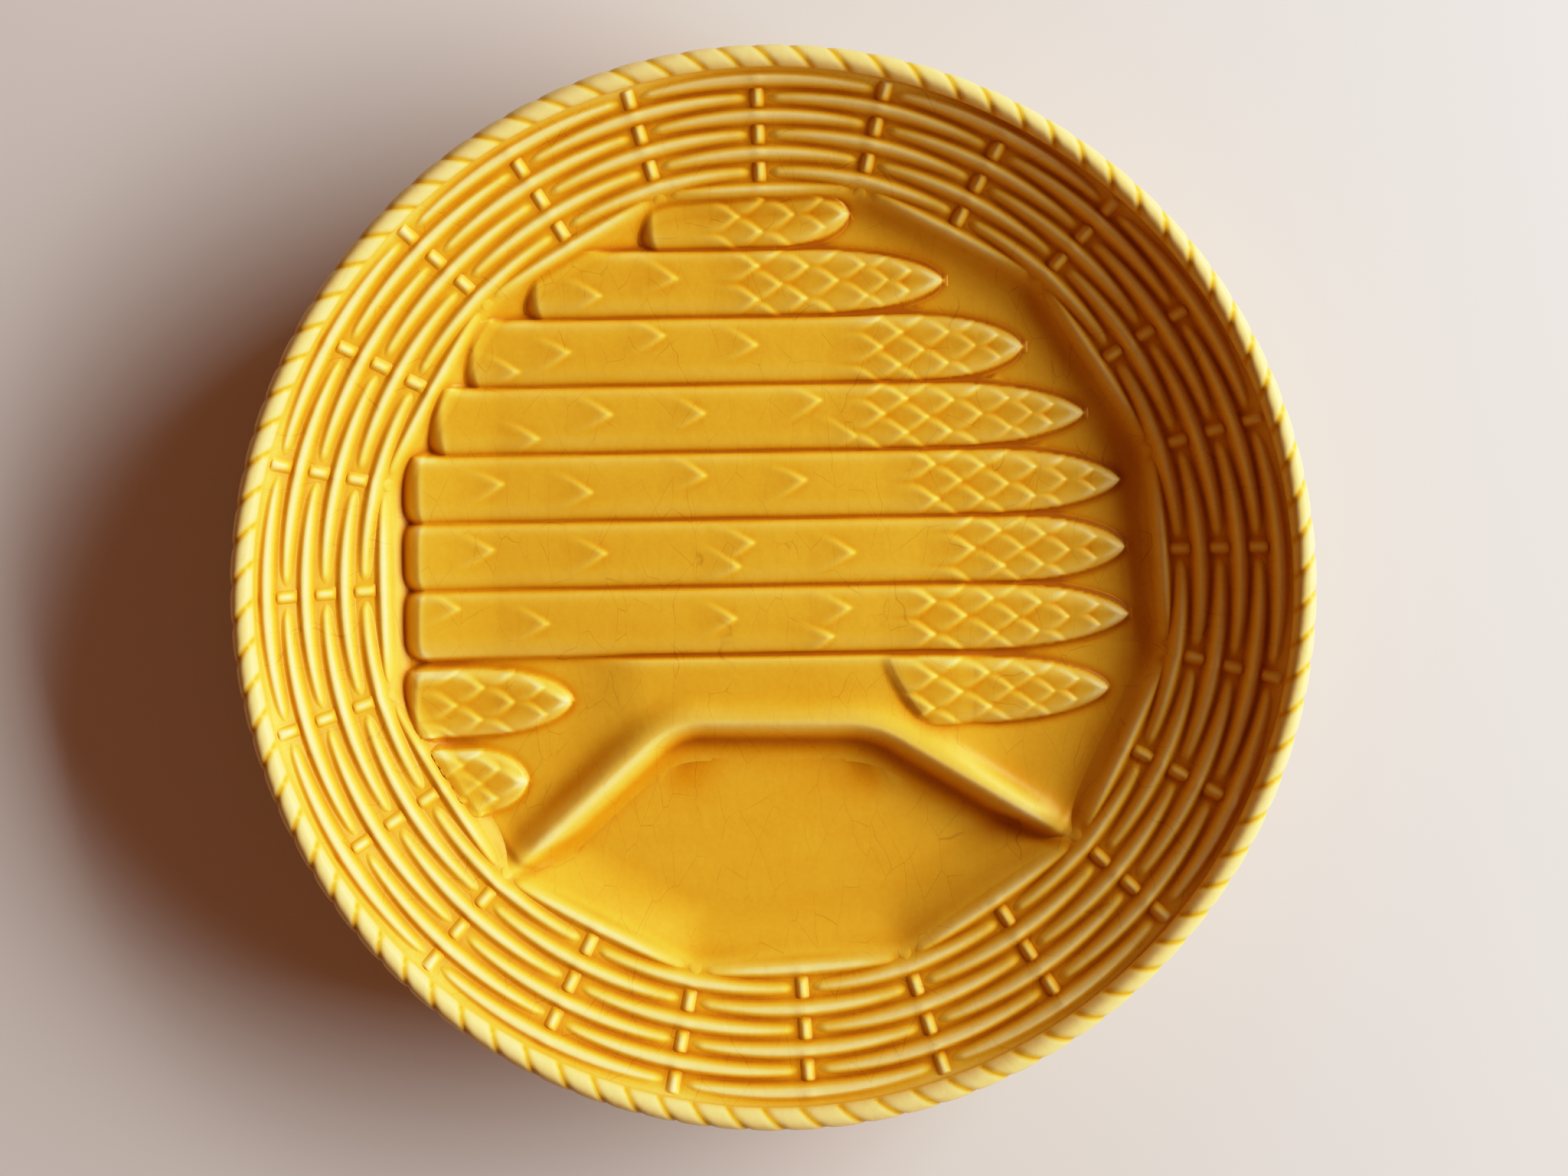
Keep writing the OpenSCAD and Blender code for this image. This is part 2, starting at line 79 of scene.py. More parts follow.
@dataclass(frozen=True)
class PlateForm:
    """The bare dish: its basket wall, lip and well as heights over the plan."""

    rim_r: float = 125.0
    rope_r: float = 2.7
    land_share: float = 0.85
    basket_w: float = 29.0
    lip_h: float = 13.3
    rim_angle: float = 42.0
    lip_angle: float = 22.0
    first_row_gap: float = 3.4
    row_count: int = 7
    side_count: int = 12
    well_slope: float = 50.0
    well_fillet: float = 17.0
    sauce_z: float = 6.6
    bed_z: float = 8.8
    bed_fill: float = 0.9
    lip_round: float = 1.1
    corner_round: float = 0.9
    land_round: float = 0.5
    first_stake: float = 3.0
    stake_step: float = 15.0
    stake_waver: float = 1.8
    waver_phase: float = 33.0

    def __post_init__(self) -> None:
        """Works out the sizes that follow from the fields."""
        def put(name: str, value: object) -> None:
            """Stores a size that follows from the others."""
            object.__setattr__(self, name, value)
        rise, fall = math.radians(self.rim_angle), math.radians(self.lip_angle)
        put("ring_r", self.rim_r - self.rope_r)
        put("wall_out_r", self.ring_r - self.rope_r * self.land_share)
        put("lip_r", self.wall_out_r - self.basket_w)
        put("arc_r", self.basket_w / (math.sin(rise) - math.sin(fall)))
        put("arc_x", self.lip_r - self.arc_r * math.sin(fall))
        put("arc_z", self.lip_h + self.arc_r * math.cos(fall))
        put("rim_z", self.arc_z - self.arc_r * math.cos(rise))
        first = self.rim_angle - math.degrees(self.first_row_gap / self.arc_r)
        put("row_step", (first - self.lip_angle) / (self.row_count - 0.5))
        put("first_row", first)
        turns = [self.stake_turn(2 * i + 1) for i in range(self.side_count)]
        half = [((turns[(i + 1) % self.side_count] - turns[i]) % 360.0) / 2.0
                for i in range(self.side_count)]
        even = math.cos(math.pi / self.side_count)
        put("side_turns", [turns[i] + half[i] for i in range(self.side_count)])
        put("side_reach", [math.cos(math.radians(h)) / even for h in half])

    def stake_turn(self, n: int) -> float:
        """Azimuth of stake n in degrees; odd stakes stand at the well's corners."""
        even = self.first_stake + self.stake_step * n
        return even + self.stake_waver * math.cos(math.radians(even + self.waver_phase))

    def row_turn(self, row: int) -> float:
        """Slope of the wall at the middle of a row of strands, in degrees."""
        return self.first_row - (row - 1) * self.row_step

    def slope(self, r: Array) -> Array:
        """Slope of the bare wall in radians at radius r."""
        lean = np.clip((r - self.arc_x) / self.arc_r, 0.2, 0.7)
        return np.arcsin(lean)

    def wall_r(self, lean: Array) -> Array:
        """Radius at which the bare wall has the slope lean, in radians."""
        return self.arc_x + self.arc_r * np.sin(lean)

    def wall_z(self, r: Array) -> Array:
        """Height of the bare basket wall at radius r, flat on the rope's land.

        Args:
            r: Distances from the plate's middle.

        Returns:
            Heights above the table.
        """
        lean = self.slope(r)
        over = r - self.wall_r(lean)
        z = self.arc_z - self.arc_r * np.cos(lean) + over * np.tan(lean)
        return soft_min(z, np.full_like(z, self.rim_z), self.land_round)

    def well_level(self, x: Array, y: Array) -> Array:
        """Distance from the middle to the twelve-sided ring that runs through a point.

        Args:
            x: Places across the plate.
            y: Places up the plate.

        Returns:
            Levels, equal to the radius along a side.
        """
        levels = [
            (x * math.cos(math.radians(t)) + y * math.sin(math.radians(t))) / reach
            for t, reach in zip(self.side_turns, self.side_reach)
        ]
        top = np.maximum.reduce(levels)
        total = sum(np.exp((v - top) / self.corner_round) for v in levels)
        return top + self.corner_round * np.log(total)

    def ring_r_at(self, level: Array, turn: Array) -> Array:
        """Radius of the twelve-sided ring of a level at an azimuth in degrees.

        Args:
            level: Levels of the well's rings.
            turn: Azimuths in degrees.

        Returns:
            Radii.
        """
        nearest = np.maximum.reduce([
            np.cos(np.radians(turn - t)) / reach
            for t, reach in zip(self.side_turns, self.side_reach)
        ])
        return level / nearest

    def well_z(self, level: Array, floor: Array) -> Array:
        """Height of the well's floor, fillet and side wall at a ring's level.

        Args:
            level: Levels of the well's rings.
            floor: Heights that the shape comes down to.

        Returns:
            Heights above the table.
        """
        steep = math.radians(self.well_slope)
        fillet = np.minimum(self.well_fillet, (self.lip_h - floor) / (1.0 - math.cos(steep)))
        edge = (self.lip_r - (self.lip_h - floor - fillet * (1.0 - math.cos(steep)))
                / math.tan(steep) - fillet * math.sin(steep))
        out = np.clip(level - edge, 0.0, fillet * math.sin(steep))
        arc = fillet - np.sqrt(fillet ** 2 - out ** 2)
        line = np.clip(level - edge - fillet * math.sin(steep), 0.0, None)
        return floor + arc + line * math.tan(steep)


@dataclass(frozen=True)
class WeaveForm:
    """Strands that pass over and under upright stakes, as heights on the wall."""

    plate: PlateForm
    strand_half_w: float = 2.65
    strand_rise: float = 1.35
    end_w_share: float = 0.66
    end_rise_share: float = 0.3
    stake_half_w: float = 1.7
    stake_half_len: float = 2.9
    stake_rise: float = 0.85
    stake_clear: float = 2.0
    lip_stake_half_len: float = 1.7
    lip_stake_share: float = 0.7
    lip_slide: float = 2.14
    cross_rise: float = 0.22
    cross_half_w: float = 1.5
    end_run: float = 0.12
    bell_power: float = 2.3
    row_reach: float = 3.2
    edge_sink: float = 0.03
    edge_rise: float = 0.06

    def over(self, row: int) -> list[int]:
        """Numbers of the stakes that a row's strands pass over."""
        return [2 * i + (row + 1) % 2 for i in range(self.plate.side_count)]

    def strand_span(self, row: int, n: int) -> tuple[float, float]:
        """Middle azimuth of a strand and its reach either side, in degrees.

        Args:
            row: Number of the row, from 1 at the rope.
            n: Number of the stake.

        Returns:
            The middle and the reach.
        """
        low, high = self.plate.stake_turn(n - 1), self.plate.stake_turn(n + 1)
        r = float(self.plate.wall_r(np.radians(self.plate.row_turn(row))))
        return (low + high) / 2.0, (high - low) / 2.0 - math.degrees(self.stake_clear / r)

    def slide(self, row: int, t: Array) -> Array:
        """How far a strand's middle line moves up the wall at the part t of its reach."""
        return self.lip_slide * t * t if row == self.plate.row_count else 0.0 * t

    def half_w(self, t: Array) -> Array:
        """Half width of a strand at the part t of its reach."""
        blunt = np.sqrt(np.clip(1.0 - np.abs(t) ** 14, 0.0, 1.0))
        return self.strand_half_w * (1.0 - (1.0 - self.end_w_share) * t * t) * blunt

    def strand(self, row: int, n: int, r: Array, turn: Array) -> Array:
        """Height of one strand above the wall, square to the wall.

        Args:
            row: Number of the row, from 1 at the rope.
            n: Number of the stake.
            r: Distances from the plate's middle.
            turn: Azimuths in degrees.

        Returns:
            Heights, 0 off the strand.
        """
        middle, reach = self.strand_span(row, n)
        t = turn_between(turn, middle) / reach
        inside = np.abs(t) < 1.0
        t = np.clip(t, -1.0, 1.0)
        up = (self.plate.slope(r) - math.radians(self.plate.row_turn(row))) * self.plate.arc_r
        v = (up - self.slide(row, t)) / np.maximum(self.half_w(t), 0.05)
        bell = np.clip(1.0 - v * v, 0.0, None) ** self.bell_power
        rise = self.strand_rise * (1.0 - (1.0 - self.end_rise_share) * t * t)
        rise = rise * smooth_step((1.0 - np.abs(t)) / self.end_run)
        at = turn_between(turn, self.plate.stake_turn(n)) * math.pi / 180.0 * r
        swell = self.cross_rise * np.exp(-(at / self.cross_half_w) ** 2)
        return np.where(inside, (rise + swell) * bell, 0.0)

    def half_len(self, row: int) -> float:
        """Half length of the piece of a stake that shows over a row."""
        last = row == self.plate.row_count
        return self.lip_stake_half_len if last else self.stake_half_len

    def stake(self, row: int, n: int, r: Array, turn: Array) -> Array:
        """Height of the piece of a stake that shows over a row, square to the wall.

        Args:
            row: Number of the row, from 1 at the rope.
            n: Number of the stake.
            r: Distances from the plate's middle.
            turn: Azimuths in degrees.

        Returns:
            Heights, 0 off the stake.
        """
        last = row == self.plate.row_count
        centre = self.lip_slide if last else 0.0
        up = (self.plate.slope(r) - math.radians(self.plate.row_turn(row))) * self.plate.arc_r
        across = turn_between(turn, self.plate.stake_turn(n)) * math.pi / 180.0 * r
        s, q = across / self.stake_half_w, (up - centre) / self.half_len(row)
        bell = np.clip(1.0 - s * s, 0.0, None) ** 1.5 * np.clip(1.0 - q ** 4, 0.0, None)
        return self.stake_rise * (self.lip_stake_share if last else 1.0) * bell

    def rise(self, r: Array, turn: Array) -> Array:
        """Height of the whole weave above the wall, square to the wall.

        Args:
            r: Distances from the plate's middle.
            turn: Azimuths in degrees.

        Returns:
            Heights, 0 between the members.
        """
        total = np.zeros_like(r)
        for row in range(1, self.plate.row_count + 1):
            off = np.degrees(self.plate.slope(r)) - self.plate.row_turn(row)
            near = np.abs(off) < self.row_reach
            r_near, turn_near = r[near], turn[near]
            high = total[near]
            for n in self.over(row):
                high = np.maximum(high, self.strand(row, n, r_near, turn_near))
                high = np.maximum(high, self.stake(row, n + 1, r_near, turn_near))
            total[near] = high
        return total

    def with_edges_in(self, z: Array, bare: Array) -> Array:
        """Heights with the thin edge of a piece sunk a hair into the wall."""
        return z - self.edge_sink * (1.0 - smooth_step((z - bare) / self.edge_rise))


@dataclass(frozen=True)
class DividerForm:
    """The ridge between the bed and the sauce compartment, and the plain fill behind it."""

    plate: PlateForm
    crest_z: float = 14.55
    end_fall: float = 1.5
    back_fall: float = 4.6
    back_power: float = 2.1
    front_fall: float = 6.0
    front_power: float = 1.9
    fill_rise: float = 2.9
    fill_half_len: float = 34.0
    fill_fade: float = 22.0
    fill_mid_x: float = 4.0
    fill_under: float = 0.6
    bend_y: float = -34.0
    bend_reach: float = 7.8
    bend_steps: int = 8
    step_half_w: float = 3.0
    under: float = 3.0
    under_gain: float = 1.3
    blend: float = 2.6
    end_blend: float = 5.5
    end_half_w: float = 8.0
    end_from: float = 74.0
    end_run: float = 12.0
    fall_from: float = 78.0
    fall_run: float = 13.0

    def path(self) -> Array:
        """Points of the crest in plan, from the left corner of the well to the right.

        Returns:
            Rows of x and y.
        """
        plate = self.plate
        reach = plate.lip_r / math.cos(math.pi / plate.side_count) * 1.06
        ends = [
            (reach * math.cos(math.radians(t)), reach * math.sin(math.radians(t)))
            for t in (plate.stake_turn(15), plate.stake_turn(21))
        ]
        run = plate.lip_r * math.tan(math.pi / plate.side_count)
        bends = [(-run, self.bend_y), (run, self.bend_y)]
        marks = [Vector(mark) for mark in (ends[0], *bends, ends[1])]
        points = [marks[0]]
        for before, bend, after in zip(marks, marks[1:], marks[2:]):
            a = bend + (before - bend).normalized() * self.bend_reach
            b = bend + (after - bend).normalized() * self.bend_reach
            for step in range(self.bend_steps + 1):
                t = step / self.bend_steps
                points.append(a * (1 - t) ** 2 + bend * (2 * t * (1 - t)) + b * t * t)
        return np.array(points + [marks[3]])

    def side(self, x: Array, y: Array) -> Array:
        """Signed distance to the crest in plan, positive towards the spears.

        Args:
            x: Places across the plate.
            y: Places up the plate.

        Returns:
            Signed distances.
        """
        path = self.path()
        best = np.full_like(x, 1e9)
        for (ax, ay), (bx, by) in zip(path[:-1], path[1:]):
            dx, dy = bx - ax, by - ay
            t = np.clip(((x - ax) * dx + (y - ay) * dy) / (dx * dx + dy * dy), 0.0, 1.0)
            ox, oy = x - ax - t * dx, y - ay - t * dy
            gap = np.hypot(ox, oy)
            signed = np.where(dx * oy - dy * ox >= 0.0, gap, -gap)
            best = np.where(gap < np.abs(best), signed, best)
        return best

    def floor_z(self, side: Array) -> Array:
        """Height of the well's flat floor, which steps down under the ridge.

        Args:
            side: Signed distance to the crest, positive towards the spears.

        Returns:
            Heights above the table.
        """
        bed = self.plate.bed_z + self.plate.bed_fill
        share = smooth_step(side / (2.0 * self.step_half_w) + 0.5)
        return self.plate.sauce_z + (bed - self.plate.sauce_z) * share

    def fillet(self, side: Array, level: Array) -> Array:
        """Reach of the fillet into the well, wider in the corners at the ridge's ends.

        Args:
            side: Signed distance to the crest, positive towards the spears.
            level: Levels of the well's rings.

        Returns:
            Reaches.
        """
        corner = smooth_step((level - self.end_from) / self.end_run)
        corner = corner * np.exp(-(side / self.end_half_w) ** 2)
        return self.blend + (self.end_blend - self.blend) * corner

    def height(self, side: Array, fill: Array, level: Array) -> Array:
        """Height of the ridge at a signed distance from its crest.

        Args:
            side: Signed distance to the crest, positive towards the spears.
            fill: Height of the plain fill on the spears' side.
            level: Level of the well's ring there, for the fall towards the lip.

        Returns:
            Heights above the table, which run under the floor away from the ridge.
        """
        deeper = self.under_gain * (self.fillet(side, level) - self.blend)
        low = self.plate.sauce_z - self.under - deeper
        fall = self.end_fall * smooth_step((level - self.fall_from) / self.fall_run)
        crest = self.crest_z - fall
        back = fill + (crest - fill) * np.exp(
            -(np.clip(side, 0.0, None) / self.back_fall) ** self.back_power)
        front = low + (crest - low) * np.exp(
            -(np.clip(-side, 0.0, None) / self.front_fall) ** self.front_power)
        return np.where(side >= 0.0, back, front)


@dataclass(frozen=True)
class Leaf:
    """A scale leaf that lies along a spear and stands off it at its point."""

    x: float
    y: float
    length: float
    half_w: float
    lift: float
    edge: float
    rim: float
    widest: float = 1.0
    skew: float = 0.0
    side_slope: float = 0.85
    rim_half_w: float = 1.1
    root_power: float = 1.6

    def rise(self, x: Array, y: Array) -> Array:
        """Height of the leaf above its spear.

        Args:
            x: Places across the plate.
            y: Places up the plate.

        Returns:
            Heights above the spear.
        """
        back = self.x - x
        t = np.clip(back / self.length, 0.0, 1.0)
        wide = self.half_w * np.sin(np.clip(t / self.widest, 0.0, 1.0) * math.pi / 2.0) ** 0.88
        off = y - self.y - self.skew * np.clip(back, 0.0, None)
        inside = (wide - np.abs(off)) * self.side_slope
        inside = np.minimum(inside, back)
        root = np.clip(1.0 - back / self.length, 0.0, 1.0)
        body = smooth_step((inside + 0.25) / self.edge) * self.lift * root ** self.root_power
        rim = np.exp(-((inside - self.edge * 0.8) / self.rim_half_w) ** 2)
        return body + rim * self.rim * root


@dataclass(frozen=True)
class SpearForm:
    """One spear in low relief, along a line turned a little against the divider."""

    name: str
    butt: float
    head: float
    tip: float
    place: float
    leaves: tuple[tuple[float, float], ...] = ()
    scales: tuple[tuple[float, float], ...] = ()
    turn: float = 0.9
    pitch: float = 16.25
    first_y: float = 85.75
    top_z: float = 12.5
    crown: float = 0.35
    upper_shoulder: float = 1.9
    lower_shoulder: float = 4.4
    head_shoulder: float = 1.6
    head_run: float = 12.0
    tip_power: float = 2.7
    tip_round: float = 0.6
    tip_rise: float = 0.3
    side_fall: float = 1.3
    butt_shoulder: float = 2.4
    butt_corner: float = 1.2
    butt_fall: float = 0.0
    butt_run: float = 0.13
    butt_lean: float = 0.0
    sweep: float = 0.022
    sweep_from: float = -66.0
    bed_z: float = 10.6
    bed_share: float = 0.35
    blend: float = 0.8
    scale_len: float = 6.4
    scale_waver: float = 0.8

    @property
    def mid_y(self) -> float:
        """Place of the spear's middle line across the bed."""
        return self.first_y - self.place * self.pitch

    def local(self, x: Array, y: Array) -> tuple[Array, Array]:
        """Turns points of the plan into the spear's own along and across."""
        c, s = math.cos(math.radians(self.turn)), math.sin(math.radians(self.turn))
        return x * c + y * s, -x * s + y * c - self.mid_y

    def world(self, along: Array, across: Array) -> tuple[Array, Array]:
        """Turns along and across into points of the plan.

        Args:
            along: Distances along the spear.
            across: Distances across it, from its middle line.

        Returns:
            Places across and up the plate.
        """
        c, s = math.cos(math.radians(self.turn)), math.sin(math.radians(self.turn))
        y = across + self.mid_y
        return along * c - y * s, along * s + y * c

    def outline(self, along: Array) -> Array:
        """Half width of the spear along it."""
        t = np.clip((along - self.head) / (self.tip - self.head), 0.0, 1.0)
        return self.pitch / 2.0 * (1.0 - t ** self.tip_power) ** self.tip_round

    def butt_drop(self, along: Array, across: Array) -> Array:
        """How far the spear has come down at its cut end, and in the clay beyond it.

        Args:
            along: Distances along the spear.
            across: Distances across it, from its middle line.

        Returns:
            Drops, 0 along the stem.
        """
        half = self.pitch / 2.0
        end = along - self.butt + self.butt_lean * (across - half)
        end = end - self.butt_corner * (np.abs(across) / half) ** 4
        edge = 1.0 - np.clip(end / self.butt_shoulder, 0.0, 1.0)
        round_edge = 1.0 - np.sqrt(1.0 - edge ** 2)
        beyond = np.clip(-end, 0.0, None)
        return self.butt_fall * round_edge + self.butt_run * beyond * (1.5 + beyond)

    def height(self, x: Array, y: Array, floor: Array) -> Array:
        """Height of the spear above the table, falling away outside its outline.

        Args:
            x: Places across the plate.
            y: Places up the plate.
            floor: Heights that the shape comes down to.

        Returns:
            Heights above the table.
        """
        along, across = self.local(x, y)
        wide = self.outline(along)
        inside = wide - np.abs(across)
        inside = np.where(along > self.tip, np.minimum(inside, self.tip - along), inside)
        grow = np.clip(wide / (self.pitch / 2.0), 0.0, 1.0)
        lower = smooth_step(0.5 - across / 3.0)
        shoulder = self.upper_shoulder + (self.lower_shoulder - self.upper_shoulder) * lower
        grown = smooth_step((along - self.head) / self.head_run)
        shoulder = shoulder + self.head_shoulder * grown * (1.0 - lower)
        reach = inside / np.minimum(shoulder, np.maximum(wide * 0.8, 0.3))
        edge = np.clip(1.0 - np.clip(reach, 0.0, 1.0), 0.0, 1.0)
        dome = np.sqrt(np.clip(1.0 - edge ** 2, 0.0, 1.0))
        crown = self.crown * (1.0 - np.clip(np.abs(across) / (self.pitch / 2.0), 0, 1) ** 2)
        rise = self.tip_rise + (1.0 - self.tip_rise) * grow ** 0.8
        rise = rise * (self.top_z - self.crown - floor)
        z = floor + rise * dome + crown * dome + self.bed_share * (floor - self.bed_z)
        detail = np.zeros_like(z)
        for leaf in self.leaf_forms():
            half = leaf.length / 2.0
            near = np.abs(along - leaf.x + half) < half + 1.5
            near &= np.abs(across - leaf.y) < leaf.half_w + 1.0
            detail[near] = np.maximum(detail[near], leaf.rise(along[near], across[near]))
        z = z + detail * np.clip(dome, 0.35, 1.0)
        z = np.where(inside > 0.0, z, floor + self.side_fall * inside)
        # The stems sweep up a little towards the wall
        run = np.clip(self.sweep_from - np.maximum(x, self.butt), 0.0, None)
        return z + self.sweep * run ** 1.5 - self.butt_drop(along, across)

    def leaf_forms(self) -> list[Leaf]:
        """The leaves of the stem and the scales of the head.

        Returns:
            The leaves, stem first.
        """
        stem = [
            Leaf(x, y, length=12.0, half_w=5.2, lift=0.6, edge=1.4, rim=0.12,
                 skew=0.1 * math.sin(7.0 * x + y))
            for x, y in self.leaves
        ]
        head = [
            Leaf(x, y, length=14.0, half_w=4.7, lift=0.95, edge=2.0, rim=0.2, widest=0.6)
            for x, y in self.scales
        ]
        return stem + head

    def with_pattern(self) -> "SpearForm":
        """Gives the head a pattern of overlapping scales where it has none listed.

        Returns:
            The spear with its scales.
        """
        if self.scales:
            return self
        span = self.tip - self.head
        count = max(3, round(span / self.scale_len))
        marks = []
        for k in range(count + 1):
            x = self.head + 2.0 + (span - 2.0) * k / count
            uneven = math.sin(5.1 * k + 7.0 * self.place)
            x += self.scale_waver * uneven * (k < count)
            wide = self.outline(x - 3.0)
            if k == count:
                marks.append((self.tip, 0.0))
            elif (count - k) % 2:
                marks += [(x, (0.5 + 0.06 * uneven) * wide), (x + 0.7 * uneven, -0.5 * wide)]
            else:
                marks += [(x, 0.07 * uneven * wide), (x + 0.6, wide), (x - 0.4, -wide)]
        return replace(self, scales=tuple(marks))


SPEARS = (
    SpearForm("spear_1", -27.5, -7.5, 19.7, -0.11),
    SpearForm("spear_2", -55.5, -3.5, 42.0, 0.89, ((-40.0, -2.6), (-21.5, 1.2))),
    SpearForm("spear_3", -71.0, 25.5, 61.0, 1.89,
              ((-60.0, -4.4), (-47.7, 0.2), (-24.8, 3.8), (-2.5, 1.2))),
    SpearForm("spear_4", -79.0, 25.5, 75.5, 2.89,
              ((-55.5, -4.3), (-37.8, 1.2), (-15.4, 1.2), (12.6, 4.0), (21.5, -5.0))),
    SpearForm("spear_5", -84.6, 37.5, 84.0, 3.89,
              ((-64.2, 1.2), (-42.8, -1.2), (-15.3, 2.4), (8.7, 1.1))),
    SpearForm("spear_6", -84.8, 47.0, 85.0, 4.89,
              ((-66.7, 1.6), (-39.6, 0.4), (-4.0, 2.4), (-7.4, -3.4), (20.2, -0.4))),
    SpearForm("spear_7", -84.8, 38.0, 85.5, 5.89,
              ((-75.0, 3.8), (-53.8, -0.1), (-8.6, 0.4), (19.0, 2.6), (14.7, -4.2))),
    SpearForm("spear_8", 26.5, 38.5, 80.5, 6.98, butt_fall=0.3, butt_lean=0.6),
    SpearForm("spear_tip_upper", -85.5, -77.0, -49.0, 7.05),
    SpearForm("spear_tip_lower", -83.0, -77.0, -60.0, 8.24),
)


@dataclass
class FaceForm:
    """The plate's whole pressed face, from which every piece takes its own share."""

    plate: PlateForm = field(default_factory=PlateForm)
    spears: tuple[SpearForm, ...] = SPEARS
    last_whole_spear: int = 6
    cell: float = 0.5
    span: float = 126.0
    hollow_reach: float = 1.3
    slope_reach: float = 1.5
    slope_thinning: float = 0.08
    full_slope: float = 0.7
    # Band of pooled glaze and painted shade along the divider's shaded sauce side
    foot_pool_and_shade_depth: float = 0.22
    foot_pool_and_shade_half_w: float = 3.4
    pool_middle: float = 0.5
    pool_gain: float = 0.95
    # Painted light: how much paler the hollows are made towards the lit left side
    lit_left_paling_share: float = 0.5
    hair: float = 0.006
    sunk: float = 0.5
    sunk_run: float = 1.4

    def __post_init__(self) -> None:
        """Sets up the forms and the map of hollows that glaze runs into."""
        self.weave = WeaveForm(self.plate)
        self.divider = DividerForm(self.plate)
        self.spears = tuple(s.with_pattern() for s in self.spears)
        self.hollows = self.hollow_map()

    def bare(self, x: Array, y: Array, weave: Array | float = 0.0) -> Array:
        """Height of the dish, with the weave's height square to the wall added.

        Args:
            x: Places across the plate.
            y: Places up the plate.
            weave: The weave's height square to the wall.

        Returns:
            Heights above the table.
        """
        r = np.hypot(x, y)
        floor = self.divider.floor_z(self.divider.side(x, y))
        well = self.plate.well_z(self.plate.well_level(x, y), floor)
        wall = self.plate.wall_z(r) + weave / np.cos(self.plate.slope(r))
        wall = np.where(r < self.plate.lip_r - 7.0, well + 9.0, wall)
        return soft_min(wall, well, self.plate.lip_round)

    def fill(self, x: Array, y: Array) -> Array:
        """Height of the plain fill between the last whole spear and the divider.

        Args:
            x: Places across the plate.
            y: Places up the plate.

        Returns:
            Heights above the table.
        """
        last, divider = self.spears[self.last_whole_spear], self.divider
        _, across = last.local(x, y)
        share = smooth_step((-last.pitch / 2.0 + 0.7 - across) / 2.4)
        far = np.abs(x - divider.fill_mid_x) - divider.fill_half_len
        rise = divider.fill_rise * share * (1.0 - smooth_step(far / divider.fill_fade))
        return self.plate.bed_z + self.plate.bed_fill + rise - divider.fill_under

    def ridge(self, x: Array, y: Array) -> Array:
        """Height of the divider and its fill."""
        return self.divider.height(
            self.divider.side(x, y), self.fill(x, y), self.plate.well_level(x, y))

    def fillet(self, x: Array, y: Array) -> Array:
        """Reach of the divider's fillet into the well."""
        return self.divider.fillet(self.divider.side(x, y), self.plate.well_level(x, y))

    def spear_floor(self, x: Array, y: Array) -> Array:
        """Level that a spear's outline comes down to.

        Args:
            x: Places across the plate.
            y: Places up the plate.

        Returns:
            Heights above the table.
        """
        bed = self.plate.bed_z + self.plate.bed_fill + 0.9
        level = np.maximum(self.bare(x, y) + 0.1, self.fill(x, y) - 0.1)
        return np.clip(level, bed, bed + 1.6)

    def whole(self, x: Array, y: Array, weave: Array | float = 0.0,
              without: SpearForm | DividerForm | None = None) -> Array:
        """Height of the face at points of the plan.

        Args:
            x: Places across the plate.
            y: Places up the plate.
            weave: Height of the weave square to the wall.
            without: A spear, or the divider, that is left out.

        Returns:
            Heights above the table.
        """
        z = self.bare(x, y, weave)
        if without is not self.divider:
            z = soft_max(z, self.ridge(x, y), self.fillet(x, y))
        for form in self.spears:
            if form is without:
                continue
            along, across = form.local(x, y)
            near = (np.abs(across) < form.pitch / 2.0 + 2.5)
            near &= (along > form.butt - 6.0) & (along < form.tip + 3.0)
            if near.any():
                own = form.height(x[near], y[near], self.spear_floor(x[near], y[near]))
                z[near] = soft_max(z[near], own, form.blend)
        return z

    def under(self, x: Array, y: Array) -> Array:
        """Height inside the dish's wall, below the well and above the underside."""
        level = self.plate.well_level(x, y)
        return self.plate.sauce_z - 1.0 + 3.0 * smooth_step((level - 84.0) / 8.0)

    def pulled_in(self, x: Array, y: Array) -> tuple[Array, Array]:
        """Points of the plan, brought in to the lip where they lie beyond it.

        Args:
            x: Places across the plate.
            y: Places up the plate.

        Returns:
            Places across and up the plate.
        """
        level = self.plate.well_level(x, y)
        share = np.minimum(1.0, (self.plate.lip_r + 1.0) / np.maximum(level, 1.0))
        return x * share, y * share

    def share(self, x: Array, y: Array, piece: SpearForm | DividerForm, own: Array,
              reach: Array | float) -> Array:
        """Height of a piece's surface where it blends into its neighbours.

        Args:
            x: Places across the plate.
            y: Places up the plate.
            piece: The spear, or the divider.
            own: Height of the piece by itself.
            reach: Reach of the fillet between the piece and its neighbours.

        Returns:
            The face's height, sunk a little where the neighbours stand above the piece.
        """
        out = self.whole(x, y, without=piece) - own
        sunk = self.hair * smooth_step((out - 0.1) / 0.5)
        sunk = sunk + self.sunk * smooth_step((out - reach) / self.sunk_run)
        return self.whole(x, y) - sunk

    def hollow_map(self) -> Array:
        """How far each point of the face lies below its surroundings, over the plan, plus a
        band of pooled glaze and painted shade at the divider's foot.

        Returns:
            Depths on a square grid.
        """
        line = np.arange(-self.span, self.span + self.cell / 2.0, self.cell)
        x, y = np.meshgrid(line, line)
        r, turn = np.hypot(x, y), np.degrees(np.arctan2(y, x))
        weave = np.zeros_like(x)
        on_wall = (r > self.plate.lip_r - 2.0) & (r < self.plate.wall_out_r + 1.0)
        weave[on_wall] = self.weave.rise(r[on_wall], turn[on_wall])
        z = self.whole(x, y, weave)
        smooth = self.blurred(z, self.hollow_reach)
        slope = np.hypot(*np.gradient(self.blurred(smooth, self.slope_reach), self.cell))
        thin = self.slope_thinning * np.clip(slope / self.full_slope, 0.0, 1.0)
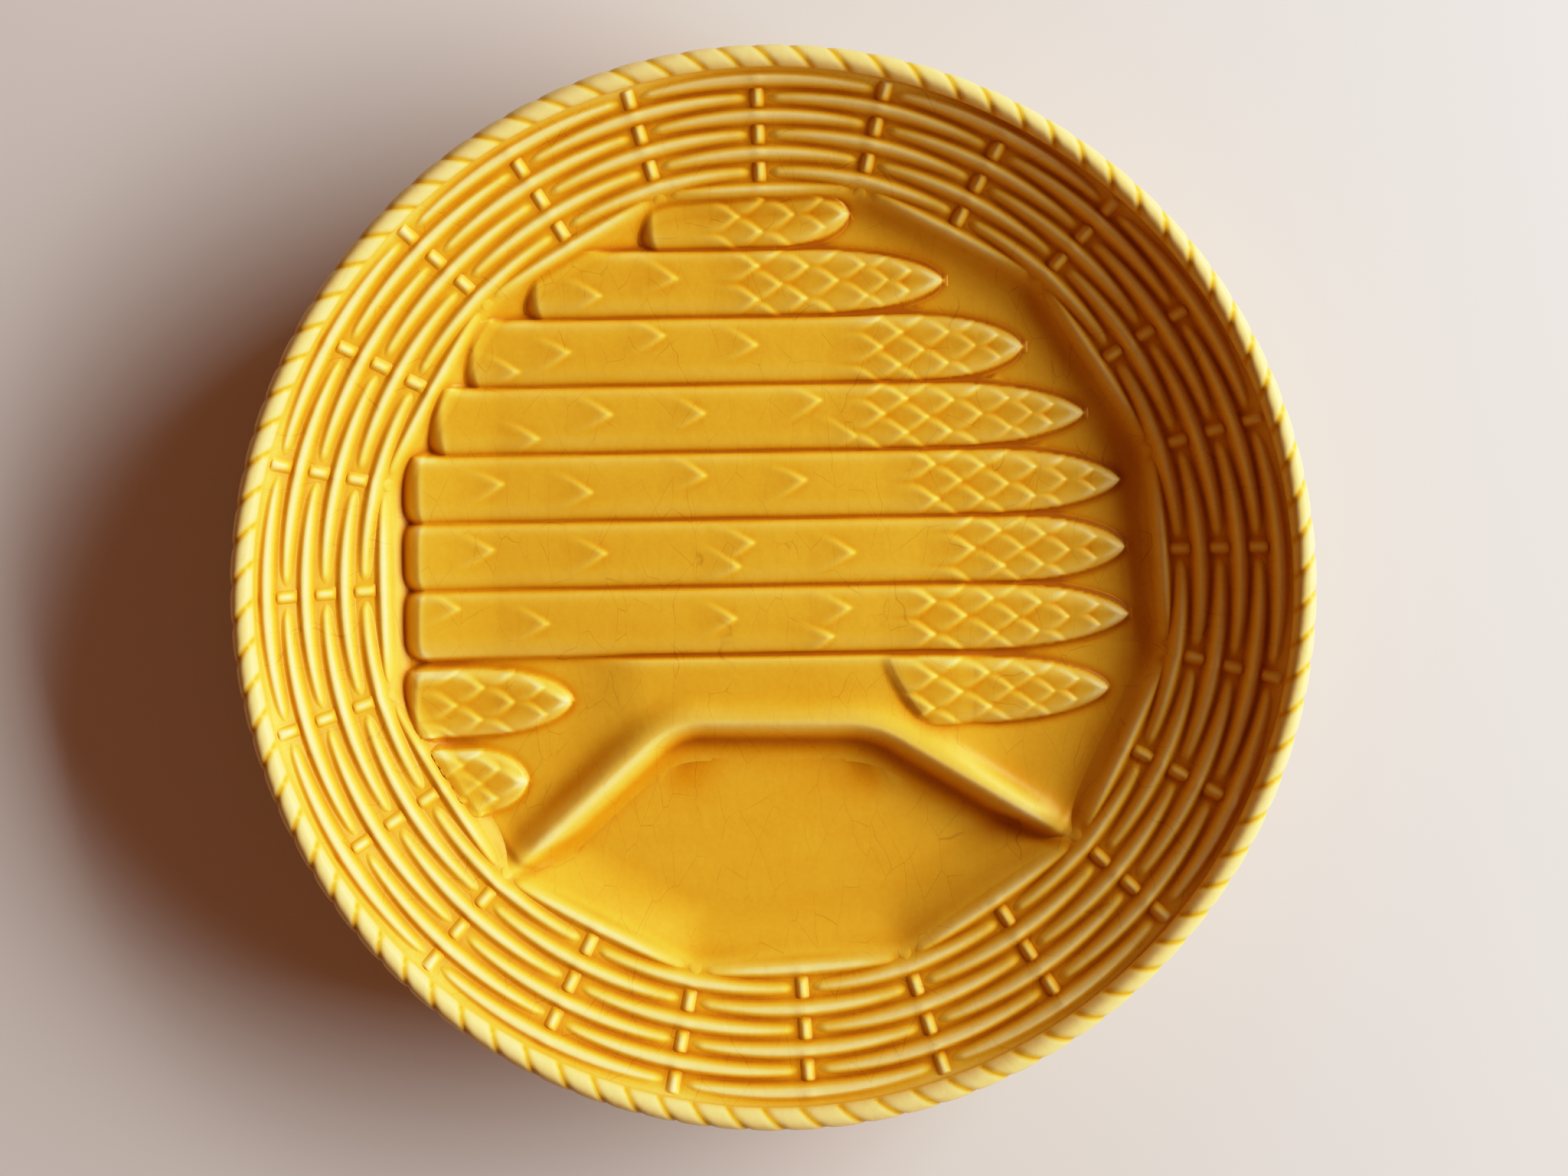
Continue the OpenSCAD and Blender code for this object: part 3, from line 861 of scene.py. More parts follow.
        # Glaze gathers at the divider's foot. The band is darkened further as painted shade on
        # the shaded sauce side of its middle and right legs, and left off its lit left leg
        foot = (self.divider.side(x, y) + self.divider.front_fall - 1.0) / self.foot_pool_and_shade_half_w
        foot = self.foot_pool_and_shade_depth * np.exp(-foot ** 2) * smooth_step((x + 34.0) / 20.0)
        foot = foot * smooth_step((88.0 - self.plate.well_level(x, y)) / 8.0)
        return smooth - z - thin + foot

    def blurred(self, values: Array, reach: float) -> Array:
        """Values of the map smoothed over reach.

        Args:
            values: Values over the plan.
            reach: Width of the smoothing.

        Returns:
            The smoothed values.
        """
        steps = np.arange(-int(3 * reach / self.cell), int(3 * reach / self.cell) + 1)
        kernel = np.exp(-0.5 * (steps * self.cell / reach) ** 2)
        kernel /= kernel.sum()
        pad = len(steps) // 2
        for axis in (0, 1):
            widths = [(pad, pad) if a == axis else (0, 0) for a in (0, 1)]
            padded = np.pad(values, widths, mode="edge")
            size = values.shape[axis]
            values = sum(
                w * np.take(padded, range(k, k + size), axis=axis)
                for k, w in enumerate(kernel)
            )
        return values

    def pool(self, x: Array, y: Array) -> Array:
        """Share of pooled glaze at points of the plan, from 0 on ridges to 1 in hollows;
        towards the left, the side that faces the window, the hollows are made paler as painted
        light.

        Args:
            x: Places across the plate.
            y: Places up the plate.

        Returns:
            Shares from 0 to 1.
        """
        u = np.clip((x + self.span) / self.cell, 0, len(self.hollows) - 1.001)
        v = np.clip((y + self.span) / self.cell, 0, len(self.hollows) - 1.001)
        i, j = u.astype(int), v.astype(int)
        a, b = u - i, v - j
        h = self.hollows
        low = h[j, i] * (1 - a) + h[j, i + 1] * a
        high = h[j + 1, i] * (1 - a) + h[j + 1, i + 1] * a
        hollow = low * (1 - b) + high * b
        # Painted light: the hollows are made paler towards the left, the side that faces the
        # window
        lit_left_paling = self.lit_left_paling_share * smooth_step((-x - 15.0) / 80.0) * (hollow > 0.0)
        deep = self.pool_gain * hollow * (1.0 - lit_left_paling)
        return np.clip(self.pool_middle + deep, 0.0, 1.0)


# Meshes


def new_patches(cells: tuple[int, int], copies: int = 1) -> bmesh.types.BMesh:
    """Grids with walls and one face underneath, side by side.

    Args:
        cells: Faces along and across each grid.
        copies: Number of grids; grid k starts at x = 2k.

    Returns:
        A bmesh whose x and y run over 0 to 1 in each grid, with the top at z 1 and the
        underside at z 0.
    """
    bm = bmesh.new()
    for copy in range(copies):
        made = bmesh.ops.create_grid(
            bm, x_segments=cells[0], y_segments=cells[1], size=0.5)
        verts = made["verts"]
        bmesh.ops.translate(bm, verts=verts, vec=(2.0 * copy + 0.5, 0.5, 1.0))
        edges = {e for v in verts for e in v.link_edges if e.is_boundary}
        low = bmesh.ops.extrude_edge_only(bm, edges=list(edges))["geom"]
        low_verts = {g for g in low if isinstance(g, bmesh.types.BMVert)}
        low_edges = [g for g in low if isinstance(g, bmesh.types.BMEdge)
                     and low_verts.issuperset(g.verts)]
        bmesh.ops.translate(bm, verts=list(low_verts), vec=(0.0, 0.0, -1.0))
        sides = [e for e in low_edges if abs(e.verts[0].co.y - e.verts[1].co.y) < 1e-6]
        ends = [e for e in low_edges if e not in sides]
        made = bmesh.ops.bridge_loops(bm, edges=sides)
        ends += [e for e in made["edges"] if e.is_boundary]
        bmesh.ops.contextual_create(bm, geom=ends)
        for edge in edges:
            edge.smooth = False
    return bm


def to_object(
    name: str, bm: bmesh.types.BMesh, move: Callable[[Array], Placed]
) -> bpy.types.Object:
    """Turns a bmesh into a smooth closed object, with its vertices moved into place.

    Args:
        name: Name of the piece.
        bm: The mesh in its working coordinates; it is freed.
        move: Function from working coordinates to millimetres, pool and flow.

    Returns:
        The object, linked to the scene and riding on the plate's one body.
    """
    mesh = bpy.data.meshes.new(name)
    for face in bm.faces:
        face.smooth = True
    bm.to_mesh(mesh)
    bm.free()
    points = np.empty(len(mesh.vertices) * 3)
    mesh.vertices.foreach_get("co", points)
    placed, pool, flow = move(points.reshape(-1, 3))
    mesh.vertices.foreach_set("co", (placed * MM).ravel())
    mesh.attributes.new("pool", "FLOAT", "POINT").data.foreach_set(
        "value", np.asarray(pool, np.float32))
    mesh.attributes.new("flow", "FLOAT_VECTOR", "POINT").data.foreach_set(
        "vector", (flow * MM).astype(np.float32).ravel())
    tidy = bmesh.new()
    tidy.from_mesh(mesh)
    bmesh.ops.remove_doubles(tidy, verts=tidy.verts, dist=1e-6)
    bmesh.ops.recalc_face_normals(tidy, faces=tidy.faces)
    tidy.to_mesh(mesh)
    tidy.free()
    mesh.update()
    obj = bpy.data.objects.new(name, mesh)
    bpy.context.scene.collection.objects.link(obj)
    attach(obj, "root")
    LOG.info("%s: %d faces", name, len(mesh.polygons))
    return obj


def flow_of(x: Array, y: Array, plate: PlateForm) -> Array:
    """Coordinates that the glaze's cracks follow: round the wall, or along the bed.

    Args:
        x: Places across the plate.
        y: Places up the plate.
        plate: The bare dish.

    Returns:
        Rows of coordinates, in millimetres.
    """
    r, turn = np.hypot(x, y), np.arctan2(y, x)
    wall = np.stack([turn * 105.0, r, np.full_like(r, 40.0)], axis=-1)
    well = np.stack([x, y, np.zeros_like(r)], axis=-1)
    return np.where((r > plate.lip_r + 1.0)[:, None], wall, well)


def stacked(x: Array, y: Array, z: Array) -> Array:
    """Rows of points from their three coordinates."""
    return np.stack([x, y, z], axis=-1)


@dataclass
class DishBody:
    """The dish under the relief: basket wall, lip, well, rim and glazed underside."""

    face: FaceForm
    name: str = "dish_body"
    steps: int = 840
    wall_t: float = 4.5
    heel_angle: float = 26.0
    heel_pull: float = 0.45
    base_inset: float = 3.5
    base_z: float = 2.8
    curve_steps: int = 12
    wall_rings: int = 46
    cover_y: float = -17.5
    cover_level: float = 82.0
    cover_front: float = -8.0
    cover_sunk: float = 0.02

    def top_rings(self) -> list[tuple[str, float]]:
        """Rings of the face from the middle out: a level in the well, a share beyond.

        Returns:
            Kind and value of each ring.
        """
        wells = [0.0, 20.0, 44.0, 60.0, 69.0, 73.0]
        wells += list(np.arange(75.0, 89.0, 1.0)) + list(np.arange(89.0, 91.0, 0.4))
        walls = [i / self.wall_rings for i in range(self.wall_rings + 1)]
        return [("well", w) for w in wells] + [("wall", s) for s in walls]

    def back_points(self) -> list[tuple[float, float]]:
        """Radius and height of the underside's rings, from the rim in to the middle.

        Returns:
            Radius and height of each ring.
        """
        plate, steps = self.face.plate, self.curve_steps
        lean = [math.radians(self.heel_angle + (plate.rim_angle - self.heel_angle) * i / steps)
                for i in range(steps, -1, -1)]
        back = [(plate.arc_x + (plate.arc_r + self.wall_t) * math.sin(a),
                 plate.arc_z - (plate.arc_r + self.wall_t) * math.cos(a)) for a in lean]
        top = back[-1]
        base_r = plate.lip_r - self.base_inset
        pull = (top[0] - base_r) * self.heel_pull
        a = math.radians(self.heel_angle)
        ctrl = [(base_r, self.base_z), (base_r + pull, self.base_z),
                (top[0] - pull * math.cos(a), top[1] - pull * math.sin(a)), top]
        heel = []
        for i in range(steps - 1, -1, -1):
            t = i / steps
            share = ((1 - t) ** 3, 3 * (1 - t) ** 2 * t, 3 * (1 - t) * t * t, t ** 3)
            heel.append(tuple(sum(s * c[k] for s, c in zip(share, ctrl)) for k in (0, 1)))
        base = [(r, self.base_z) for r in (84.0, 76.0, 60.0, 30.0, 0.0)]
        out_r = plate.ring_r + plate.rope_r * plate.land_share
        edge = [(out_r - 0.3, plate.rim_z), (out_r, plate.rim_z - 0.3),
                (out_r, plate.rim_z - 0.9), (out_r - 0.25, plate.rim_z - 1.25)]
        return edge + back + heel + base

    def build(self) -> bpy.types.Object:
        """Spins the section round and moves its rings onto the face.

        Returns:
            The object, on its body.
        """
        tops, backs = self.top_rings(), self.back_points()
        bm = bmesh.new()
        chain = [bm.verts.new((float(i), 0.0, 1.0)) for i in range(len(tops))]
        chain += [bm.verts.new((float(i), 0.0, 0.0)) for i in range(len(backs) - 1, -1, -1)]
        # The underside's rings count inwards, so that ring 0 is the middle on both sides
        edges = [bm.edges.new(pair) for pair in zip(chain, chain[1:])]
        bmesh.ops.spin(
            bm, geom=chain + edges, cent=(0, 0, 0), axis=(0, 0, 1),
            angle=math.tau, steps=self.steps, use_merge=True)
        bmesh.ops.remove_doubles(bm, verts=bm.verts, dist=1e-4)
        return to_object(self.name, bm, lambda p: self.move(p, tops, backs))

    def move(self, points: Array, tops: list[tuple[str, float]],
             backs: list[tuple[float, float]]) -> Placed:
        """Places the vertices of the spun section.

        Args:
            points: Working coordinates: the ring's number as radius, 1 or 0 as height.
            tops: Rings of the face.
            backs: Rings of the underside.

        Returns:
            Places in millimetres, pool and flow.
        """
        plate = self.face.plate
        ring = np.round(np.hypot(points[:, 0], points[:, 1])).astype(int)
        turn = np.degrees(np.arctan2(points[:, 1], points[:, 0]))
        upper = points[:, 2] > 0.5
        kinds = np.array([kind == "well" for kind, _ in tops])
        values = np.array([value for _, value in tops])
        lip = plate.ring_r_at(np.full(len(ring), plate.lip_r), turn)
        out_r = plate.ring_r + plate.rope_r * plate.land_share - 0.3
        ring_top = np.where(upper, ring, 0)
        r_well = plate.ring_r_at(values[ring_top], turn)
        r_wall = lip + (out_r - lip) * values[ring_top]
        r = np.where(kinds[ring_top], r_well, r_wall)
        back = np.array(backs[::-1])
        ring_back = np.where(upper, 0, ring)
        r = np.where(upper, r, back[ring_back, 0])
        x, y = r * np.cos(np.radians(turn)), r * np.sin(np.radians(turn))
        z = back[ring_back, 1].copy()
        z[upper] = self.face.bare(x[upper], y[upper])
        # Under the divider and its fill the floor stays level, since its rings are far apart
        covered = upper & (y < self.cover_y) & (plate.well_level(x, y) < self.cover_level)
        covered &= self.face.divider.side(x, y) > self.cover_front
        z[covered] = plate.sauce_z - self.cover_sunk
        pool = np.full(len(x), 0.5)
        pool[upper] = self.face.pool(x[upper], y[upper])
        return stacked(x, y, z), pool, flow_of(x, y, plate)


@dataclass
class FootRing:
    """The unglazed ring that the plate rests on, with its edges rubbed round."""

    face: FaceForm
    name: str = "foot_rim"
    out_r: float = 78.0
    width: float = 4.5
    height: float = 2.8
    spread: float = 0.9
    sunk: float = 0.6
    rub: float = 0.35
    rub_z: float = 0.5
    draft: float = 0.15
    steps: int = 360

    def build(self) -> bpy.types.Object:
        """Spins a flat-bottomed section with bevelled edges.

        Returns:
            The object, on its body.
        """
        bm = bmesh.new()
        in_r, out_r = self.out_r - self.width, self.out_r
        section = [
            (in_r - self.spread, self.height + self.sunk), (in_r - self.spread, self.height),
            (in_r - self.draft, self.rub_z), (in_r + self.rub, 0.0),
            (out_r - self.rub, 0.0), (out_r + self.draft, self.rub_z),
            (out_r + self.spread, self.height), (out_r + self.spread, self.height + self.sunk),
        ]
        verts = [bm.verts.new((r, 0.0, z)) for r, z in section]
        edges = [bm.edges.new((a, b)) for a, b in zip(verts, verts[1:] + verts[:1])]
        bmesh.ops.spin(bm, geom=verts + edges, cent=(0, 0, 0), axis=(0, 0, 1),
                       angle=math.tau, steps=self.steps, use_merge=True)
        bmesh.ops.remove_doubles(bm, verts=bm.verts, dist=1e-4)
        return to_object(self.name, bm, self.move)

    def move(self, points: Array) -> Placed:
        """Keeps the section, with the light waver of a hand-trimmed foot.

        Args:
            points: The working mesh's coordinates.

        Returns:
            Places in millimetres, pool and flow.
        """
        turn = np.arctan2(points[:, 1], points[:, 0])
        points = points.copy()
        side = np.hypot(points[:, 0], points[:, 1]) - self.out_r + self.width / 2.0
        waver = 1.0 + 0.0012 * np.sin(3.0 * turn + 0.7) * np.sign(side)
        points[:, 0] *= waver
        points[:, 1] *= waver
        pool = np.full(len(points), 0.5)
        return points, pool, flow_of(points[:, 0], points[:, 1], self.face.plate)


@dataclass
class RopeRim:
    """The rope border: a ring of slanted lobes with a thin groove between two."""

    face: FaceForm
    name: str = "rope_rim"
    lobes: int = 90
    steps: int = 1080
    sides: int = 20
    notch: float = 0.3
    notch_half_w: float = 0.75
    swell: float = 0.12
    swell_half_w: float = 2.0
    work_r: float = 10.0
    lean_turn: float = 2.6
    sunk: float = 48.0
    inset: float = 0.12

    @property
    def mid_z(self) -> float:
        """Height of the rope's middle line."""
        plate = self.face.plate
        return plate.rim_z + plate.rope_r * math.sin(math.radians(self.sunk))

    def build(self) -> bpy.types.Object:
        """Spins a circle into a ring and presses the grooves into it.

        Returns:
            The object, on its body.
        """
        bm = bmesh.new()
        made = bmesh.ops.create_circle(bm, cap_ends=False, segments=self.sides, radius=1.0)
        verts = made["verts"]
        bmesh.ops.rotate(bm, verts=verts, cent=(0, 0, 0),
                         matrix=Matrix.Rotation(math.pi / 2.0, 3, "X"))
        bmesh.ops.translate(bm, verts=verts, vec=(self.work_r, 0.0, 0.0))
        edges = list({e for v in verts for e in v.link_edges})
        bmesh.ops.spin(bm, geom=verts + edges, cent=(0, 0, 0), axis=(0, 0, 1),
                       angle=math.tau, steps=self.steps, use_merge=True)
        bmesh.ops.remove_doubles(bm, verts=bm.verts, dist=1e-4)
        return to_object(self.name, bm, self.move)

    def move(self, points: Array) -> Placed:
        """Sets the ring's real size and lays the slanted grooves over it.

        Args:
            points: The working mesh's coordinates.

        Returns:
            Places in millimetres, pool and flow.
        """
        plate = self.face.plate
        turn = np.degrees(np.arctan2(points[:, 1], points[:, 0]))
        off = np.hypot(points[:, 0], points[:, 1]) - self.work_r
        section = np.degrees(np.arctan2(points[:, 2], off))
        section = np.where(section < -90.0, section + 360.0, section)
        lean = self.lean_turn * smooth_step((section + 10.0) / 190.0)
        waver = 0.25 * np.sin(np.radians(turn * 7.0))
        waver = waver + 0.18 * np.sin(np.radians(turn * 11.0 + 40))
        place = (turn + lean + waver) * self.lobes / 360.0
        gap = np.abs((place + 0.5) % 1.0 - 0.5) * 2.0 * math.pi * plate.ring_r / self.lobes
        shown = smooth_step((section + 40.0) / 60.0) * smooth_step((200.0 - section) / 40.0)
        groove = np.exp(-(gap / self.notch_half_w) ** 2)
        wide = np.exp(-(gap / self.swell_half_w) ** 2)
        r = plate.rope_r - self.inset
        r = r - shown * (self.notch * groove + self.swell * wide)
        out = plate.ring_r + r * np.cos(np.radians(section))
        z = self.mid_z + r * np.sin(np.radians(section))
        x, y = out * np.cos(np.radians(turn)), out * np.sin(np.radians(turn))
        low = smooth_step((20.0 - section) / 80.0) + smooth_step((section - 150.0) / 50.0)
        pool = np.clip(0.02 + 0.55 * groove * shown + 0.25 * low, 0.0, 1.0)
        flow = stacked(np.radians(turn) * 120.0, section * 0.05, np.full_like(r, 80.0))
        return stacked(x, y, z), pool, flow


@dataclass
class WeaveRow:
    """One row of twelve strands, each a rounded bar that swells over its stake."""

    face: FaceForm
    row: int
    cells: tuple[int, int] = (72, 12)
    sunk: float = 1.2

    def build(self) -> bpy.types.Object:
        """Lays a grid over each strand's outline."""
        copies = self.face.plate.side_count
        return to_object(f"strands_row_{self.row}", new_patches(self.cells, copies), self.move)

    def move(self, points: Array) -> Placed:
        """Places the strands' vertices on the wall.

        Args:
            points: The working mesh's coordinates.

        Returns:
            Places in millimetres, pool and flow.
        """
        plate, weave = self.face.plate, self.face.weave
        copy = np.floor(points[:, 0] / 2.0 + 0.01).astype(int)
        t = (points[:, 0] - 2.0 * copy) * 2.0 - 1.0
        t = np.sign(t) * (1.0 - (1.0 - np.abs(t)) ** 1.25)
        turn, rise = np.zeros(len(t)), np.zeros(len(t))
        wide = np.maximum(weave.half_w(t), 0.12)
        up = (points[:, 1] * 2.0 - 1.0) * wide + weave.slide(self.row, t)
        lean = math.radians(plate.row_turn(self.row)) + up / plate.arc_r
        r = plate.wall_r(lean)
        for k, n in enumerate(weave.over(self.row)):
            mine = copy == k
            middle, reach = weave.strand_span(self.row, n)
            turn[mine] = middle + t[mine] * reach
            rise[mine] = weave.strand(self.row, n, r[mine], turn[mine])
        x, y = r * np.cos(np.radians(turn)), r * np.sin(np.radians(turn))
        bare, z = self.face.bare(x, y), self.face.bare(x, y, rise)
        z = weave.with_edges_in(z, bare)
        z = np.where(points[:, 2] > 0.5, z, bare - self.sunk)
        return stacked(x, y, z), self.face.pool(x, y), flow_of(x, y, plate)


@dataclass
class StakeSet:
    """The pieces of the upright stakes that show between the strands of every other row."""

    face: FaceForm
    name: str
    first_row: int
    cells: tuple[int, int] = (12, 20)
    sunk: float = 1.2

    def rows(self) -> list[int]:
        """Rows over which these stakes show; the corner ones also show at the lip."""
        last = self.face.plate.row_count + (1 if self.first_row == 1 else 0)
        return list(range(self.first_row, last, 2))

    def build(self) -> bpy.types.Object:
        """Lays a grid over each piece of a stake."""
        copies = self.face.plate.side_count * len(self.rows())
        return to_object(self.name, new_patches(self.cells, copies), self.move)

    def move(self, points: Array) -> Placed:
        """Places the stakes' vertices on the wall.

        Args:
            points: The working mesh's coordinates.

        Returns:
            Places in millimetres, pool and flow.
        """
        plate, weave = self.face.plate, self.face.weave
        copy = np.floor(points[:, 0] / 2.0 + 0.01).astype(int)
        s = (points[:, 0] - 2.0 * copy) * 2.0 - 1.0
        q = points[:, 1] * 2.0 - 1.0
        turn, rise, r = np.zeros(len(s)), np.zeros(len(s)), np.zeros(len(s))
        for k in range(copy.max() + 1):
            row = self.rows()[k // plate.side_count]
            n = weave.over(row)[k % plate.side_count] + 1
            mine = copy == k
            up = q[mine] * weave.half_len(row)
            up = up + (weave.lip_slide if row == plate.row_count else 0.0)
            r[mine] = plate.wall_r(math.radians(plate.row_turn(row)) + up / plate.arc_r)
            across = s[mine] * weave.stake_half_w / r[mine]
            turn[mine] = plate.stake_turn(n) + np.degrees(across)
            rise[mine] = weave.stake(row, n, r[mine], turn[mine])
        x, y = r * np.cos(np.radians(turn)), r * np.sin(np.radians(turn))
        bare, z = self.face.bare(x, y), self.face.bare(x, y, rise)
        z = weave.with_edges_in(z, bare)
        z = np.where(points[:, 2] > 0.5, z, bare - self.sunk)
        return stacked(x, y, z), self.face.pool(x, y), flow_of(x, y, plate)


@dataclass
class DividerRidge:
    """The divider with its soft crest, and the plain clay that sweeps up to it."""

    face: FaceForm
    name: str = "divider_ridge"
    cells: tuple[int, int] = (320, 110)
    front: float = 11.0
    half_len: float = 91.0
    overlap: float = 1.3
    hair: float = 0.008
    lip_level: float = 88.0
    lip_run: float = 2.5

    def build(self) -> bpy.types.Object:
        """Lays a grid from the last groove over the crest into the sauce compartment."""
        return to_object(self.name, new_patches(self.cells), self.move)

    def move(self, points: Array) -> Placed:
        """Places the ridge's vertices between its front foot and the last spear.

        Args:
            points: The working mesh's coordinates.

        Returns:
            Places in millimetres, pool and flow.
        """
        face, last = self.face, self.face.spears[self.face.last_whole_spear]
        path = face.divider.path()
        x = self.half_len * (2.0 * points[:, 0] - 1.0)
        crest = np.interp(x, path[:, 0], path[:, 1])
        foot = crest - self.front
        _, far = last.world(x, np.full_like(x, self.overlap - last.pitch / 2.0))
        y = foot + (far - foot) * points[:, 1]
        x, y = face.pulled_in(x, y)
        z = face.share(x, y, face.divider, face.ridge(x, y), face.fillet(x, y))
        # In the sauce compartment it lies a hair above the floor, up to its front edge
        level = face.plate.well_level(x, y)
        front = (face.divider.side(x, y) < 0.0) & (level < 84.0)
        proud = self.hair * (1.5 * smooth_step(points[:, 1] / 0.1) - 0.5)
        z = np.where(front, np.maximum(z, face.bare(x, y) + proud), z)
        z = z - smooth_step((level - self.lip_level) / self.lip_run)
        z = np.where(points[:, 2] > 0.5, z, face.under(x, y))
        return stacked(x, y, z), face.pool(x, y), flow_of(x, y, face.plate)


@dataclass
class SpearRelief:
    """One spear with its leaves and scales, down to the grooves beside it."""

    face: FaceForm
    form: SpearForm
    step: float = 0.34
    fade: float = 1.5
    butt_fade: float = 5.5

    def build(self) -> bpy.types.Object:
        """Lays a fine grid over the spear's outline.

        Returns:
            The object, on its body.
        """
        span = self.form.tip - self.form.butt + self.fade + self.butt_fade
        cells = (int(span / self.step), int(self.form.pitch / self.step))
        return to_object(f"{self.form.name}_relief", new_patches(cells), self.move)

    def move(self, points: Array) -> Placed:
        """Places the spear's vertices and presses its leaves into relief.

        Args:
            points: The working mesh's coordinates.

        Returns:
            Places in millimetres, pool and flow.
        """
        face, form = self.face, self.form
        start, end = form.butt - self.butt_fade, form.tip + self.fade
        along = start + (end - start) * points[:, 0]
        across = (points[:, 1] * 2.0 - 1.0) * (form.outline(along) + self.fade)
        x, y = face.pulled_in(*form.world(along, across))
        own = form.height(x, y, face.spear_floor(x, y))
        z = face.share(x, y, form, own, form.blend)
        z = np.where(points[:, 2] > 0.5, z, face.under(x, y))
        return stacked(x, y, z), face.pool(x, y), flow_of(x, y, face.plate)


# Finishes


def linear(code: str) -> tuple[float, float, float, float]:
    """Turns an sRGB hex colour into the linear one that shaders take.

    Args:
        code: Colour as a hash mark and six hex digits.

    Returns:
        Linear red, green, blue and alpha.
    """
    parts = [int(code[i:i + 2], 16) / 255.0 for i in (1, 3, 5)]
    return tuple(
        c / 12.92 if c <= 0.04045 else ((c + 0.055) / 1.055) ** 2.4 for c in parts
    ) + (1.0,)


def add_node(
    tree: bpy.types.NodeTree,
    kind: str,
    inputs: dict[str | int, object] | None = None,
    stops: tuple[tuple[float, str], ...] = (),
    **settings: object,
) -> bpy.types.Node:
    """Adds a node, with its settings and with values or links for its inputs.

    Args:
        tree: The material's node tree.
        kind: The node's type name.
        inputs: Values or output sockets by input name or number.
        stops: Places and hex colours of a colour ramp.
        **settings: The node's own properties.

    Returns:
        The node.
    """
    node = tree.nodes.new(kind)
    for key, value in settings.items():
        setattr(node, key, value)
    for key, value in (inputs or {}).items():
        if isinstance(value, bpy.types.NodeSocket):
            tree.links.new(value, node.inputs[key])
        else:
            node.inputs[key].default_value = value
    if stops:
        marks = node.color_ramp.elements
        while len(marks) < len(stops):
            marks.new(0.5)
        for mark, (place, code) in zip(marks, stops):
            mark.position, mark.color = place, linear(code)
    return node


def per_mm(size: float) -> float:
    """Texture scale that gives one feature every size millimetres."""
    return 1.0 / (size * MM)


class Slot(Enum):
    """The record's material slots."""

    HONEY_GLAZE = "honey_glaze"
    BARE_CLAY = "bare_clay"


